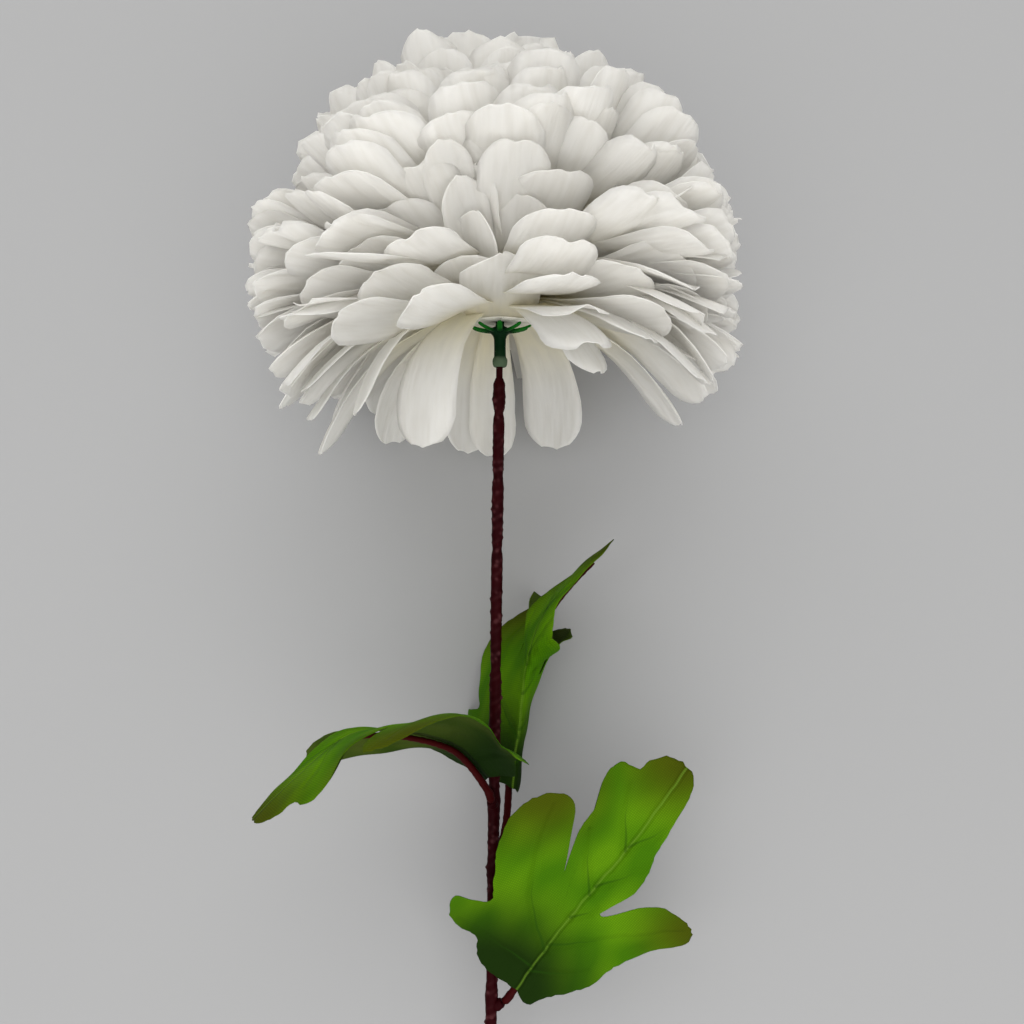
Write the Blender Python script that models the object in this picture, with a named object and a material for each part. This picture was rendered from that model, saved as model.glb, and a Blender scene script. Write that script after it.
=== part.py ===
"""Pompon chrysanthemum: one artificial flower on a cut stem, lying on a flat surface.

Everything is laid out in the flower's own frame, in millimetres: x to the right, y up the
stem with 0 at the top of the calyx, z towards the viewer. The flower is then laid down.
"""
import bmesh
import bpy
import numpy as np

# Driving dimensions in millimetres
STEM_LENGTH = 400.0  # top of the calyx to the cut end
STEM_END_RADIUS = 2.1
STEM_SIDES = 10
STEM_LEAN = 0.0127  # sideways drift of the stem for each millimetre along it
BORE_RADIUS = 1.2
WIRE_RADIUS = 0.9
LIE_TILT = np.radians(10.5)  # slope of the lying stem
PETAL_THICKNESS = 0.8
PETAL_BASE = 0.42  # width at the root, as a share of the full width
LEAF_THICKNESS = 0.8
LEAF_LENGTH = 110.0
LEAF_RINGS = (0.28, 0.52, 0.76, 1.0)
LOBE_SWEEP = 0.75  # how far forward the side lobes lean, so each follows its own vein from the rib
LEAF_HEART = (25.0, 0.0)  # point on the rib from which the leaf's edge is seen all round
PIN_RADIUS = 1.6
PIN_HOLE_RADIUS = 2.0
PIN_TOP = 29.0
CALYX_RADIUS = 12.5
SPOKES = 9

LIFT = STEM_LENGTH * np.sin(LIE_TILT) + STEM_END_RADIUS * np.cos(np.pi / STEM_SIDES) * np.cos(LIE_TILT)

# Each row: petals, root radius, root height, end radius, end height, arch, width, hollow
LAYERS = (
    (10, 10, 9, 80, -30, 15, 25, 0.20),
    (12, 12, 13, 91, -17, 12, 26, 0.26),
    (12, 12, 17, 96, -4, 10, 26, 0.28),
    (12, 12, 22, 97, 9, 9, 26, 0.28),
    (12, 12, 27, 95, 23, 8, 26, 0.26),
    (11, 12, 32, 91, 38, 7, 26, 0.24),
    (10, 11, 37, 85, 53, 6, 26, 0.20),
    (10, 10, 42, 76, 67, 5, 26, 0.14),
    (9, 9, 46, 64, 80, 3, 26, 0.05),
    (8, 8, 50, 51, 91, 0, 26, -0.10),
    (6, 7, 53, 37, 100, -3, 27, -0.22),
    (5, 5, 55, 22, 107, -5, 27, -0.30),
    (3, 3, 56, 8, 110, -6, 28, -0.36),
)
FRONT_RISE = 28.0  # how far the two lowest layers rise in front of the stem, where the cup shows

# Hanging petals of the lowest layer: angle round the stem, end radius, end height, arch, width
SKIRT = (
    (119, 52, -46, 30, 24),
    (147, 62, -38, 26, 20),
    (172, 74, -36, 20, 17),
    (196, 72, -50, 24, 19),
    (222, 64, -44, 26, 24),
    (246, 50, -52, 30, 24),
    (269, 46, -56, 32, 25),
    (294, 50, -52, 30, 29),
    (318, 66, -34, 24, 24),
    (345, 76, -38, 20, 22),
    (22, 78, -22, 16, 22),
    (52, 72, -16, 18, 25),
    (88, 72, 14, 12, 24),
)

# Heart of the bloom that the petals are set in: radius, height
HEART = ((13.0, 1.2), (21.0, 7.0), (29.0, 20.0), (33.0, 36.0), (29.0, 54.0), (18.0, 67.0))

# Edge of a leaf, laid flat: distance along the rib from its base, distance to the right of it
LEAF_EDGE = (
    (110, -1), (107, 4.5), (101, 7), (92, 7.8), (84, 8.8), (77, 9.5), (68, 12), (60, 12.5),
    (50, 9.3), (44, 7.5), (45.5, 10), (51, 14), (58, 18.5), (62.5, 25), (62.5, 34), (59, 40),
    (53, 41.5), (47, 38.5), (42, 33.5), (34, 29.5), (27, 26), (19, 23.5), (13, 20), (8, 15),
    (3, 10.5), (-3, 6), (-1, 0), (0.5, -6), (1, -14), (5, -22), (12.5, -27), (14, -35.5),
    (18, -43.2), (25.5, -46), (26.5, -38.5), (28, -31), (32, -32.5), (38.5, -36.3), (47, -42), (55, -45),
    (62, -45.3), (68, -43.3), (72.8, -39), (75.2, -33), (73, -27), (63.5, -21.3), (49, -13.5), (57, -16.5),
    (66, -19.5), (74, -20.5), (80.5, -21), (86.5, -24.5), (92, -25), (97, -22), (98, -15),
    (103, -13.5), (108.5, -8),
)

# Leaves: points of the rib from base to tip and the way that the leaf's upper face looks there,
# then the fold and the curl of the right and the left half and where the fold dies out, the gap
# to the bar under the rib, the height of the joint, the end of the stub there and points of the
# stalk from it to the leaf
LEAVES = {
    "front": {
        "rib": ((6.6, -257, 5), (22, -234, 9), (40, -211, 13), (57, -189, 15), (72, -169, 13)),
        "face": ((0.1, 0, 1), (0, 0, 1), (0, 0, 1), (0, 0.05, 1), (0.05, 0.25, 1)),
        "right": (0.16, -0.006),
        "left": (0.10, 0.004),
        "fold_ends": (90, 110),
        "under": (0.0, -1.0),
        "gap": 0.5,
        "joint": -267,
        "stub": (0.9, -263.9, 0.8),
        "stalk": (),
    },
    "left": {
        "rib": ((-5, -175, 5.5), (-17, -161, 14), (-36, -153, 28), (-53, -152.5, 38), (-69, -164, 48),
                (-83, -177, 55)),
        "face": ((0.4, 0.85, -0.3), (-0.1, 1, -0.3), (0, 1, -0.1), (-0.15, 1, 0.12),
                 (-0.55, 0.82, 0.2), (-0.6, 0.8, 0.15)),
        "right": (-0.06, -0.004),
        "left": (0.30, -0.007),
        "fold_ends": (60, 90),
        "under": (0.0, -1.0),
        "gap": 0.7,
        "joint": -188,
        "stub": (-3.2, -185.0, 3.2),
        "stalk": ((-4.4, -181.0, 5.2),),
    },
    "back": {
        "rib": ((5, -181, -5), (7.5, -158, -8), (10.5, -134, -9), (17, -114, -8),
                (30, -97, -4), (44, -84, 2)),
        "face": ((-0.35, 0.05, 0.9), (-0.45, 0, 0.88), (-0.85, 0.1, 0.5), (-0.98, 0.2, 0.02),
                 (-0.92, 0.4, -0.05), (-0.88, 0.45, -0.05)),
        "right": (-1.8, -0.006),
        "left": (-0.14, -0.006),
        "fold_ends": (44, 52),
        "under": (-0.70, -0.71),
        "gap": 2.3,
        "joint": -216,
        "stub": (-0.9, -211.0, -3.4),
        "stalk": ((0.8, -204, -7.5), (2.6, -195, -10.0)),
    },
}

# Radius of the stem's sheath at each height: joints and waists
STEM_PROFILE = (
    (-7.0, 1.25), (-20.5, 1.3), (-22.5, 2.3), (-30.0, 2.5), (-34.0, 1.7), (-38.0, 2.3), (-56.0, 2.1),
    (-59.0, 1.8), (-63.0, 2.35), (-84.0, 2.1), (-87.0, 1.8), (-91.0, 2.3), (-130.0, 2.1),
    (-134.0, 1.8), (-138.0, 2.3), (-176.0, 2.2), (-181.0, 2.0), (-185.0, 2.7), (-192.0, 2.3),
    (-207.0, 2.2), (-212.0, 2.6), (-218.0, 2.2), (-256.0, 2.1), (-262.0, 2.6), (-268.0, 2.2),
    (-310.0, 2.1), (-314.0, 1.8), (-318.0, 2.3), (-360.0, 2.1), (-364.0, 1.8), (-368.0, 2.3),
    (-400.0, STEM_END_RADIUS),
)

rng = np.random.default_rng(31)


# Mesh helpers

def lay_down(points):
    """The flower's own frame turned so that the stem slopes down to the table."""
    x, y, z = np.moveaxis(np.asarray(points, float), -1, 0)
    across = y * np.cos(LIE_TILT) - z * np.sin(LIE_TILT)
    up = y * np.sin(LIE_TILT) + z * np.cos(LIE_TILT) + LIFT
    return np.stack([x, across, up], axis=-1)


def new_object(name, points, faces, material=None):
    """A mesh object from points in millimetres of the lying flower."""
    mesh = bpy.data.meshes.new(name)
    mesh.from_pydata([tuple(p) for p in np.asarray(points) / 1000], [], [tuple(map(int, f)) for f in faces])
    mesh.validate()
    mesh.update()
    obj = bpy.data.objects.new(name, mesh)
    bpy.context.scene.collection.objects.link(obj)
    if material:
        mesh.materials.append(material)
    return obj


def plain_material(name, colour, roughness, metallic=0.0):
    material = bpy.data.materials.new(name)
    material.use_nodes = True
    shader = material.node_tree.nodes["Principled BSDF"]
    shader.inputs["Base Color"].default_value = (*colour, 1.0)
    shader.inputs["Roughness"].default_value = roughness
    shader.inputs["Metallic"].default_value = metallic
    material.diffuse_color = (*colour, 1.0)
    return material


def join(obj, others, operation="UNION"):
    """One Boolean of an object with a list of closed objects, which are then removed."""
    group = bpy.data.collections.new(obj.name + "_pieces")
    bpy.context.scene.collection.children.link(group)
    for other in others:
        bpy.context.scene.collection.objects.unlink(other)
        group.objects.link(other)
    union = obj.modifiers.new("join", "BOOLEAN")
    union.operation = operation
    union.operand_type = "COLLECTION"
    union.collection = group
    union.solver = "MANIFOLD"
    graph = bpy.context.evaluated_depsgraph_get()
    joined = bpy.data.meshes.new_from_object(obj.evaluated_get(graph))
    fill_pockets(joined)
    obj.modifiers.clear()
    obj.data = joined
    for other in others:
        bpy.data.objects.remove(other)
    bpy.data.collections.remove(group)


def fill_pockets(mesh):
    """Leaves only the outer skin, so that closed pockets between crowded roots become solid."""
    work = bmesh.new()
    work.from_mesh(mesh)
    left = set(work.verts)
    skins = []
    while left:
        skin, edge = set(), [left.pop()]
        while edge:
            vert = edge.pop()
            skin.add(vert)
            near = [e.other_vert(vert) for e in vert.link_edges]
            near = [v for v in near if v in left]
            left.difference_update(near)
            edge += near
        skins.append(skin)
    skins.sort(key=len)
    bmesh.ops.delete(work, geom=[v for skin in skins[:-1] for v in skin], context="VERTS")
    bmesh.ops.triangulate(work, faces=work.faces)
    work.to_mesh(mesh)
    work.free()


def sheet_faces(rows, columns):
    """Triangles of a closed thin blade: an upper grid, a lower grid split alike, and the rim."""
    index = np.arange(rows * columns).reshape(rows, columns)
    a, b = index[:-1, :-1], index[1:, :-1]
    c, d = index[1:, 1:], index[:-1, 1:]
    upper = np.concatenate([np.stack([a, b, c], -1).reshape(-1, 3), np.stack([a, c, d], -1).reshape(-1, 3)])
    lower = upper[:, ::-1] + rows * columns
    loop = np.concatenate([index[0, :-1], index[:-1, -1], index[-1, :0:-1], index[:0:-1, 0]])
    after = np.roll(loop, -1)
    rim = np.concatenate([
        np.stack([loop, after, after + rows * columns], -1),
        np.stack([loop, after + rows * columns, loop + rows * columns], -1),
    ])
    return np.concatenate([upper, lower, rim])


def thicken(grid, thickness, level=None):
    """Upper and lower points of a blade, kept above the level that it lies on."""
    along = np.gradient(grid, axis=0)
    across = np.gradient(grid, axis=1)
    normal = np.cross(along, across)
    normal /= np.linalg.norm(normal, axis=-1, keepdims=True)
    upper = grid + normal * thickness / 2
    lower = grid - normal * thickness / 2
    if level is not None:
        rises = normal[..., 2] > 0
        laid = grid[..., 2] < level + thickness / 2 + 0.01
        upper[..., 2] = np.maximum(upper[..., 2], level + thickness * rises)
        lower[..., 2] = np.maximum(lower[..., 2], level + thickness * ~rises)
        upper[..., 2] = np.where(laid, level + thickness * rises, upper[..., 2])
        lower[..., 2] = np.where(laid, level + thickness * ~rises, lower[..., 2])
    return np.concatenate([upper.reshape(-1, 3), lower.reshape(-1, 3)])


def outward(points, faces):
    """The faces turned so that the closed mesh has a positive volume."""
    corners = points[np.asarray(faces)]
    volume = np.einsum("ij,ij->i", corners[:, 0], np.cross(corners[:, 1], corners[:, 2])).sum()
    return faces if volume > 0 else [f[::-1] for f in faces]


def lathe(profile, sides, centre=lambda y: (0.0, 0.0), bump=None):
    """Closed body of revolution from (radius, height) points; the first and last lie on the axis."""
    profile = np.asarray(profile, float)
    turn = (np.arange(sides) + 0.5) / sides * 2 * np.pi - np.pi / 2
    points = [(*centre(profile[0, 1]), profile[0, 1]), (*centre(profile[-1, 1]), profile[-1, 1])]
    rings = profile[1:-1]
    for k, (radius, height) in enumerate(rings):
        x, z = centre(height)
        for j, angle in enumerate(turn):
            r = radius + (bump(k, j) if bump else 0.0)
            points.append((x + r * np.cos(angle), z + r * np.sin(angle), height))
    points = np.array(points)[:, [0, 2, 1]]
    faces = []
    for j in range(sides):
        k = (j + 1) % sides
        faces.append((0, 2 + j, 2 + k))
        last = 2 + (len(rings) - 1) * sides
        faces.append((1, last + k, last + j))
        for i in range(len(rings) - 1):
            base = 2 + i * sides
            a, b, c, d = base + j, base + sides + j, base + sides + k, base + k
            faces += [(a, b, c), (a, c, d)]
    return points, outward(points, faces)


def tube(path, radii, sides):
    """Closed round bar along a path, with flat ends."""
    path = np.asarray(path, float)
    direction = np.gradient(path, axis=0)
    direction /= np.linalg.norm(direction, axis=1, keepdims=True)
    side = np.cross(direction, (0.31, 0.2, 0.93))
    side /= np.linalg.norm(side, axis=1, keepdims=True)
    other = np.cross(direction, side)
    turn = np.arange(sides) / sides * 2 * np.pi
    ring = np.cos(turn)[:, None] * side[:, None] + np.sin(turn)[:, None] * other[:, None]
    points = (path[:, None] + ring * np.asarray(radii)[:, None, None]).reshape(-1, 3)
    last = len(points) - sides
    faces = [(0, k + 1, k) for k in range(1, sides - 1)]
    faces += [(last, last + k, last + k + 1) for k in range(1, sides - 1)]
    for i in range(len(path) - 1):
        for j in range(sides):
            a, d = i * sides + j, i * sides + (j + 1) % sides
            faces += [(a, d, d + sides), (a, d + sides, a + sides)]
    return points, outward(points, faces)


def smooth_line(knots, count):
    """Evenly spaced points on a smooth line through the knots."""
    knots = np.asarray(knots, float)
    padded = np.vstack([2 * knots[0] - knots[1], knots, 2 * knots[-1] - knots[-2]])
    t = np.linspace(0, len(knots) - 1, 400)
    k = np.minimum(t.astype(int), len(knots) - 2)
    f = (t - k)[:, None]
    p0, p1, p2, p3 = padded[k], padded[k + 1], padded[k + 2], padded[k + 3]
    dense = 0.5 * (2 * p1 + (p2 - p0) * f + (2 * p0 - 5 * p1 + 4 * p2 - p3) * f**2
                   + (3 * p1 - p0 - 3 * p2 + p3) * f**3)
    run = np.concatenate([[0], np.cumsum(np.linalg.norm(np.diff(dense, axis=0), axis=1))])
    at = np.linspace(0, run[-1], count)
    return np.stack([np.interp(at, run, dense[:, i]) for i in range(dense.shape[1])], axis=1)


# Bloom

def petal_grid(petal, stations, across):
    """Middle surface of one petal. Its centreline is a parabola from root to end in the plane
    through the stem, its width swells to a round end, and its section is hollowed."""
    u, v = np.meshgrid(stations, across, indexing="ij")
    u = u - 0.07 * v**2 * u**8
    r0, y0, r1, y1 = petal["root_r"], petal["root_y"], petal["end_r"], petal["end_y"]
    length = np.hypot(r1 - r0, y1 - y0)
    rise_r, rise_y = -(y1 - y0) / length, (r1 - r0) / length
    mid_r = (r0 + r1) / 2 + 2 * petal["arch"] * rise_r
    mid_y = (y0 + y1) / 2 + 2 * petal["arch"] * rise_y
    radial = (1 - u)**2 * r0 + 2 * u * (1 - u) * mid_r + u**2 * r1
    height = (1 - u)**2 * y0 + 2 * u * (1 - u) * mid_y + u**2 * y1
    along_r = (1 - u) * (mid_r - r0) + u * (r1 - mid_r)
    along_y = (1 - u) * (mid_y - y0) + u * (y1 - mid_y)
    size = np.hypot(along_r, along_y)
    half = petal["width"] / 2 * np.where(
        u < 0.78,
        PETAL_BASE + (1 - PETAL_BASE) * np.sin(np.clip(u / 0.78, 0, 1) * np.pi / 2)**1.4,
        np.sqrt(np.clip(1 - ((u - 0.78) / 0.245)**2 * 0.86, 0, 1)),
    )
    side = v * half
    lift = -petal["hollow"] * half * v**2
    turn = petal["twist"] * u
    side, lift = side * np.cos(turn) - lift * np.sin(turn), side * np.sin(turn) + lift * np.cos(turn)
    side = side + petal["sway"] * u**2
    radial = radial - along_y / size * lift
    height = height + along_r / size * lift
    c, s = np.cos(petal["angle"]), np.sin(petal["angle"])
    return np.stack([radial * c - side * s, height, radial * s + side * c], axis=-1)


def rest_on_table(grid, level):
    """Bends a blade so that what would pass through the table runs along it instead."""
    out = grid.copy()
    for i in range(1, len(grid)):
        step = grid[i] - grid[i - 1]
        moved = out[i - 1] + step
        away = out[i - 1, :, :2] - (0.0, 15.0)
        away /= np.linalg.norm(away, axis=1, keepdims=True)
        flat = step[:, :2] + 0.5 * np.linalg.norm(step, axis=1, keepdims=True) * away
        flat /= np.linalg.norm(flat, axis=1, keepdims=True)
        drop = level - out[i - 1, :, 2]
        run = np.sqrt(np.maximum((step**2).sum(axis=1) - drop**2, 0))
        laid = np.column_stack([out[i - 1, :, :2] + flat * run[:, None], np.full(len(drop), level)])
        out[i] = np.where(moved[:, 2:] < level, laid, moved)
    return out


def petals():
    """Every petal of the bloom, lowest layer first, in a seeded arrangement."""
    found = []
    for angle, end_r, end_y, arch, width in SKIRT:
        found.append({"root_r": 9.0, "root_y": 6.0, "end_r": end_r, "end_y": end_y, "arch": arch / 2,
                      "width": width, "hollow": 0.16, "twist": rng.uniform(-0.1, 0.1),
                      "sway": rng.uniform(-2, 2), "angle": np.radians(angle)})
    for k, (count, r0, y0, r1, y1, arch, width, hollow) in enumerate(LAYERS):
        start = 72 + 5 * k + 14 * (k % 2)
        for j in range(count):
            angle = start + (j + rng.uniform(-0.12, 0.12)) * 360 / count
            from_front = (angle - 90 + 180) % 360 - 180
            rise = FRONT_RISE / (k + 1) * np.exp(-(from_front / 24)**2) if k < 2 else 0.0
            found.append({
                "root_r": r0, "root_y": y0,
                "end_r": r1 + rng.uniform(-3, 2), "end_y": y1 + rise + rng.uniform(-2, 2),
                "arch": arch + rng.uniform(-2, 2), "width": width + rng.uniform(-2, 2),
                "hollow": hollow + rng.uniform(-0.05, 0.05), "twist": rng.uniform(-0.15, 0.15),
                "sway": rng.uniform(-3, 3),
                "angle": np.radians(angle),
            })
    return found


def make_bloom(material):
    hole = PIN_HOLE_RADIUS
    profile = [(0, PIN_TOP + 1.0), (hole, PIN_TOP + 1.0), (hole, HEART[0][1]), *HEART, (0, 71.0)]
    points, faces = lathe(profile, 14)
    bloom = new_object("bloom", lay_down(points), faces, material)
    across = np.linspace(-1, 1, 3)
    blades = []
    for k, petal in enumerate(petals()):
        level = (0.0, 1.1, 2.2)[k % 3]
        stations = np.array([0, 0.45, 0.8, 1.0])
        grid = lay_down(petal_grid(petal, stations, across))
        if grid[..., 2].min() < level + 1:
            stations = np.array([0, 0.4, 0.7, 0.84, 1.0])
            grid = lay_down(petal_grid(petal, stations, across))
            grid = rest_on_table(grid, level + PETAL_THICKNESS / 2)
        points = thicken(grid, PETAL_THICKNESS, level)
        faces = sheet_faces(*grid.shape[:2])
        blades.append(new_object(f"petal_{k}", points, outward(points, faces), material))
    join(bloom, blades)
    return bloom


# Calyx

def make_calyx(material):
    """Shallow cup of spokes, the pin that holds the bloom, the socket tube and its bead."""
    profile = [(0, PIN_TOP), (PIN_RADIUS, PIN_TOP), (PIN_RADIUS, -0.6), (4.2, -1.6), (4.0, -2.6),
               (2.5, -4.2), (2.3, -12.4), (2.75, -13.4), (2.8, -15.4), (2.2, -16.4),
               (1.65, -16.4), (1.65, -6.6), (0, -6.6)]
    points, faces = lathe(profile, 14)
    calyx = new_object("calyx", lay_down(points), faces, material)
    spokes = []
    for k in range(SPOKES):
        angle = (k + 0.25) / SPOKES * 2 * np.pi
        radial = np.array([2.8, 6.5, 10.0, CALYX_RADIUS])
        height = np.array([-2.4, -1.9, -1.0, 0.2])
        width = np.array([1.1, 1.0, 1.0, 0.9])
        grid = np.empty((4, 2, 3))
        for j, v in enumerate((-1, 1)):
            side = v * width
            grid[:, j] = np.stack([radial * np.cos(angle) - side * np.sin(angle), height,
                                   radial * np.sin(angle) + side * np.cos(angle)], axis=-1)
        points = thicken(lay_down(grid), 1.0)
        spokes.append(new_object(f"spoke_{k}", points, outward(points, sheet_faces(4, 2)), material))
    join(calyx, spokes)
    return calyx


# Stem

def stem_centre(y):
    return STEM_LEAN * y, 0.0


def stub_line(leaf):
    """From the stem's axis to the end of the short stub that a leaf stalk is pushed on."""
    height = leaf["joint"]
    return np.array([stem_centre(height)[0], height, 0.0]), np.array(leaf["stub"])


def make_stem(material):
    """Moulded sheath: joints, waists and rows of small prickles, bored for the wire, with three
    stubs for the leaf stalks."""
    heights = np.concatenate([[-7.0, -20.5], np.arange(-22.5, -STEM_LENGTH, -5.0), [-STEM_LENGTH]])
    table = np.array(STEM_PROFILE)[::-1]
    radii = np.interp(heights, table[:, 0], table[:, 1])
    rings = list(zip(radii, heights))
    profile = [(0, heights[0]), *rings, (0, -STEM_LENGTH)]

    def bump(ring, side):
        prickled = 3 <= ring < len(rings) - 1 and (ring + 2 * side) % 5 == 0
        return 0.42 if prickled else 0.0

    points, faces = lathe(profile, STEM_SIDES, stem_centre, bump)
    stem = new_object("stem", lay_down(points), faces, material)
    stubs = []
    for name, leaf in LEAVES.items():
        start, end = stub_line(leaf)
        path = np.array([start + (end - start) * t for t in (0.0, 0.5, 0.85, 1.0)])
        points, faces = tube(path, (1.0, 2.2, 2.1, 1.9), 8)
        stubs.append(new_object("stub_" + name, lay_down(points), faces, material))
    join(stem, stubs)
    profile = [(0, -24.0), (BORE_RADIUS, -24.0), (BORE_RADIUS, -STEM_LENGTH - 3), (0, -STEM_LENGTH - 3)]
    points, faces = lathe(profile, 8, stem_centre)
    join(stem, [new_object("bore", lay_down(points), faces, material)], "DIFFERENCE")
    return stem


def make_wire(material):
    profile = [(0, -25.0), (WIRE_RADIUS, -25.0), (WIRE_RADIUS, -STEM_LENGTH - 0.8), (0, -STEM_LENGTH - 0.8)]
    points, faces = lathe(profile, 8, stem_centre)
    return new_object("stem_wire", lay_down(points), faces, material)


# Leaves

def rib_at(leaf, s):
    """Point, direction, right-hand side and upper face of the leaf at distances along its rib."""
    rib = smooth_line(np.hstack([leaf["rib"], leaf["face"]]), 200)
    run = np.concatenate([[0], np.cumsum(np.linalg.norm(np.diff(rib[:, :3], axis=0), axis=1))])
    ahead = np.gradient(rib[:, :3], axis=0)
    ahead /= np.linalg.norm(ahead, axis=1, keepdims=True)
    held = np.clip(s, 0, run[-1])
    point = np.stack([np.interp(held, run, rib[:, i]) for i in range(3)], axis=-1)
    face = np.stack([np.interp(held, run, rib[:, i]) for i in range(3, 6)], axis=-1)
    along = np.stack([np.interp(held, run, ahead[:, i]) for i in range(3)], axis=-1)
    along /= np.linalg.norm(along, axis=-1, keepdims=True)
    point = point + along * (s - held)[..., None]
    face = face - along * (face * along).sum(axis=-1, keepdims=True)
    face /= np.linalg.norm(face, axis=-1, keepdims=True)
    return point, along, np.cross(along, face), face


def bend_leaf(leaf, flat):
    """Points of the flat leaf carried onto its bent rib, each half folded, curled and waved."""
    s, t = flat[..., 0], flat[..., 1]
    far = np.abs(t)
    vein = s - LOBE_SWEEP * far
    point = rib_at(leaf, s)[0]
    _, _, right, face = rib_at(leaf, vein)
    first, last = leaf["fold_ends"]
    kept = 1 - 0.95 * np.clip((vein - first) / (last - first), 0, 1)
    fold = kept * np.where(t > 0, leaf["right"][0], leaf["left"][0])
    curl = np.where(t > 0, leaf["right"][1], leaf["left"][1])
    angle = (fold + curl * far) * far / (far + 1.2)
    wave = 1.6 * np.sin(s / 9.0 + np.sign(t)) * (far / 40)
    return point + right * (t * np.cos(angle))[..., None] + face * (far * np.sin(angle) + wave)[..., None]


def make_leaf(name, leaf, material):
    edge = np.array(LEAF_EDGE, float)
    heart = np.array(LEAF_HEART)
    shares = LEAF_RINGS
    flat = np.concatenate([[heart], *[heart + share * (edge - heart) for share in shares]])
    count = len(edge)
    middle = bend_leaf(leaf, flat)
    e = 0.5
    along = bend_leaf(leaf, flat + (e, 0)) - bend_leaf(leaf, flat - (e, 0))
    beside = flat[:, 1:] + np.array([[-e, e]])
    across = bend_leaf(leaf, np.column_stack([flat[:, 0], beside[:, 1]])) - bend_leaf(
        leaf, np.column_stack([flat[:, 0], beside[:, 0]]))
    normal = np.cross(across, along)
    normal /= np.linalg.norm(normal, axis=1, keepdims=True)
    upper, lower = middle + normal * LEAF_THICKNESS / 2, middle - normal * LEAF_THICKNESS / 2
    faces = []
    for j in range(count):
        k = (j + 1) % count
        faces.append((0, 1 + j, 1 + k))
        for ring in range(len(shares) - 1):
            a, b = 1 + ring * count + j, 1 + (ring + 1) * count + j
            c, d = 1 + (ring + 1) * count + k, 1 + ring * count + k
            faces += [(a, b, c), (a, c, d)]
    faces = np.array(faces)
    total = len(flat)
    rim = []
    for j in range(count):
        a = total - count + j
        b = total - count + (j + 1) % count
        rim += [(b, a, a + total), (b, a + total, b + total)]
    faces = np.concatenate([faces, faces[:, ::-1] + total, rim])
    points = lay_down(np.concatenate([upper, lower]))
    return new_object("leaf_" + name, points, outward(points, faces), material)


def make_stalk(name, leaf, material):
    """Dark bar from the stem's stub to the leaf, then under its rib nearly to the tip."""
    heart, rings = LEAF_HEART[0], np.array(LEAF_RINGS)
    corners = np.concatenate([heart - heart * rings[::-1], [heart], heart + (LEAF_LENGTH - heart) * rings])
    s = np.concatenate([[3], corners[1:-1], [98]])
    radius = np.interp(s, (0, 98), (1.5, 0.6))
    at_corner, _, right, face = rib_at(leaf, corners)
    below = leaf["under"][0] * right + leaf["under"][1] * face
    point = np.stack([np.interp(s, corners, at_corner[:, i]) for i in range(3)], axis=-1)
    below = np.stack([np.interp(s, corners, below[:, i]) for i in range(3)], axis=-1)
    under = point + below * (radius + LEAF_THICKNESS / 2 + leaf["gap"])[:, None]
    start, end = stub_line(leaf)
    ahead = (end - start) / np.linalg.norm(end - start)
    knots = np.vstack([end + 0.5 * ahead, end + 2.5 * ahead, *leaf["stalk"], under])
    radii = np.concatenate([[1.6, 1.6], [1.6] * len(leaf["stalk"]), radius])
    points, faces = tube(knots, radii, 7)
    return new_object("stalk_" + name, lay_down(points), faces, material)


def centre_on_origin(objects):
    """Moves the whole flower so that the middle of its box stands over the origin."""
    corners = np.concatenate([np.array([v.co[:] for v in obj.data.vertices]) for obj in objects])
    middle = (corners.min(axis=0) + corners.max(axis=0)) / 2
    for obj in objects:
        points = np.array([v.co[:] for v in obj.data.vertices])
        points[:, :2] -= middle[:2]
        obj.data.vertices.foreach_set("co", points.ravel())
        obj.data.update()


for old in list(bpy.data.objects):
    bpy.data.objects.remove(old)

petal_cloth = plain_material("petal_cloth", (0.86, 0.84, 0.79), 0.85)
calyx_plastic = plain_material("calyx_plastic", (0.02, 0.10, 0.03), 0.45)
stem_plastic = plain_material("stem_plastic", (0.045, 0.005, 0.012), 0.35)
wire_steel = plain_material("wire_steel", (0.45, 0.45, 0.46), 0.35, 1.0)
leaf_cloth = plain_material("leaf_cloth", (0.10, 0.26, 0.01), 0.8)
stalk_plastic = plain_material("stalk_plastic", (0.10, 0.008, 0.012), 0.4)

built = [make_bloom(petal_cloth), make_calyx(calyx_plastic), make_stem(stem_plastic), make_wire(wire_steel)]
for leaf_name, leaf_shape in LEAVES.items():
    built.append(make_leaf(leaf_name, leaf_shape, leaf_cloth))
    built.append(make_stalk(leaf_name, leaf_shape, stalk_plastic))
centre_on_origin(built)
for obj in built:
    print(obj.name, "triangles", sum(len(p.vertices) - 2 for p in obj.data.polygons))
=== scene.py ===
"""Pompon chrysanthemum, an artificial flower lying down: cloth petals and leaves, moulded stem.

Shapes are worked out in the flower's own frame in millimetres (x to the right, y up the stem with
0 at the top of the calyx, z towards the viewer) and then laid down as the solids are.
"""

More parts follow.
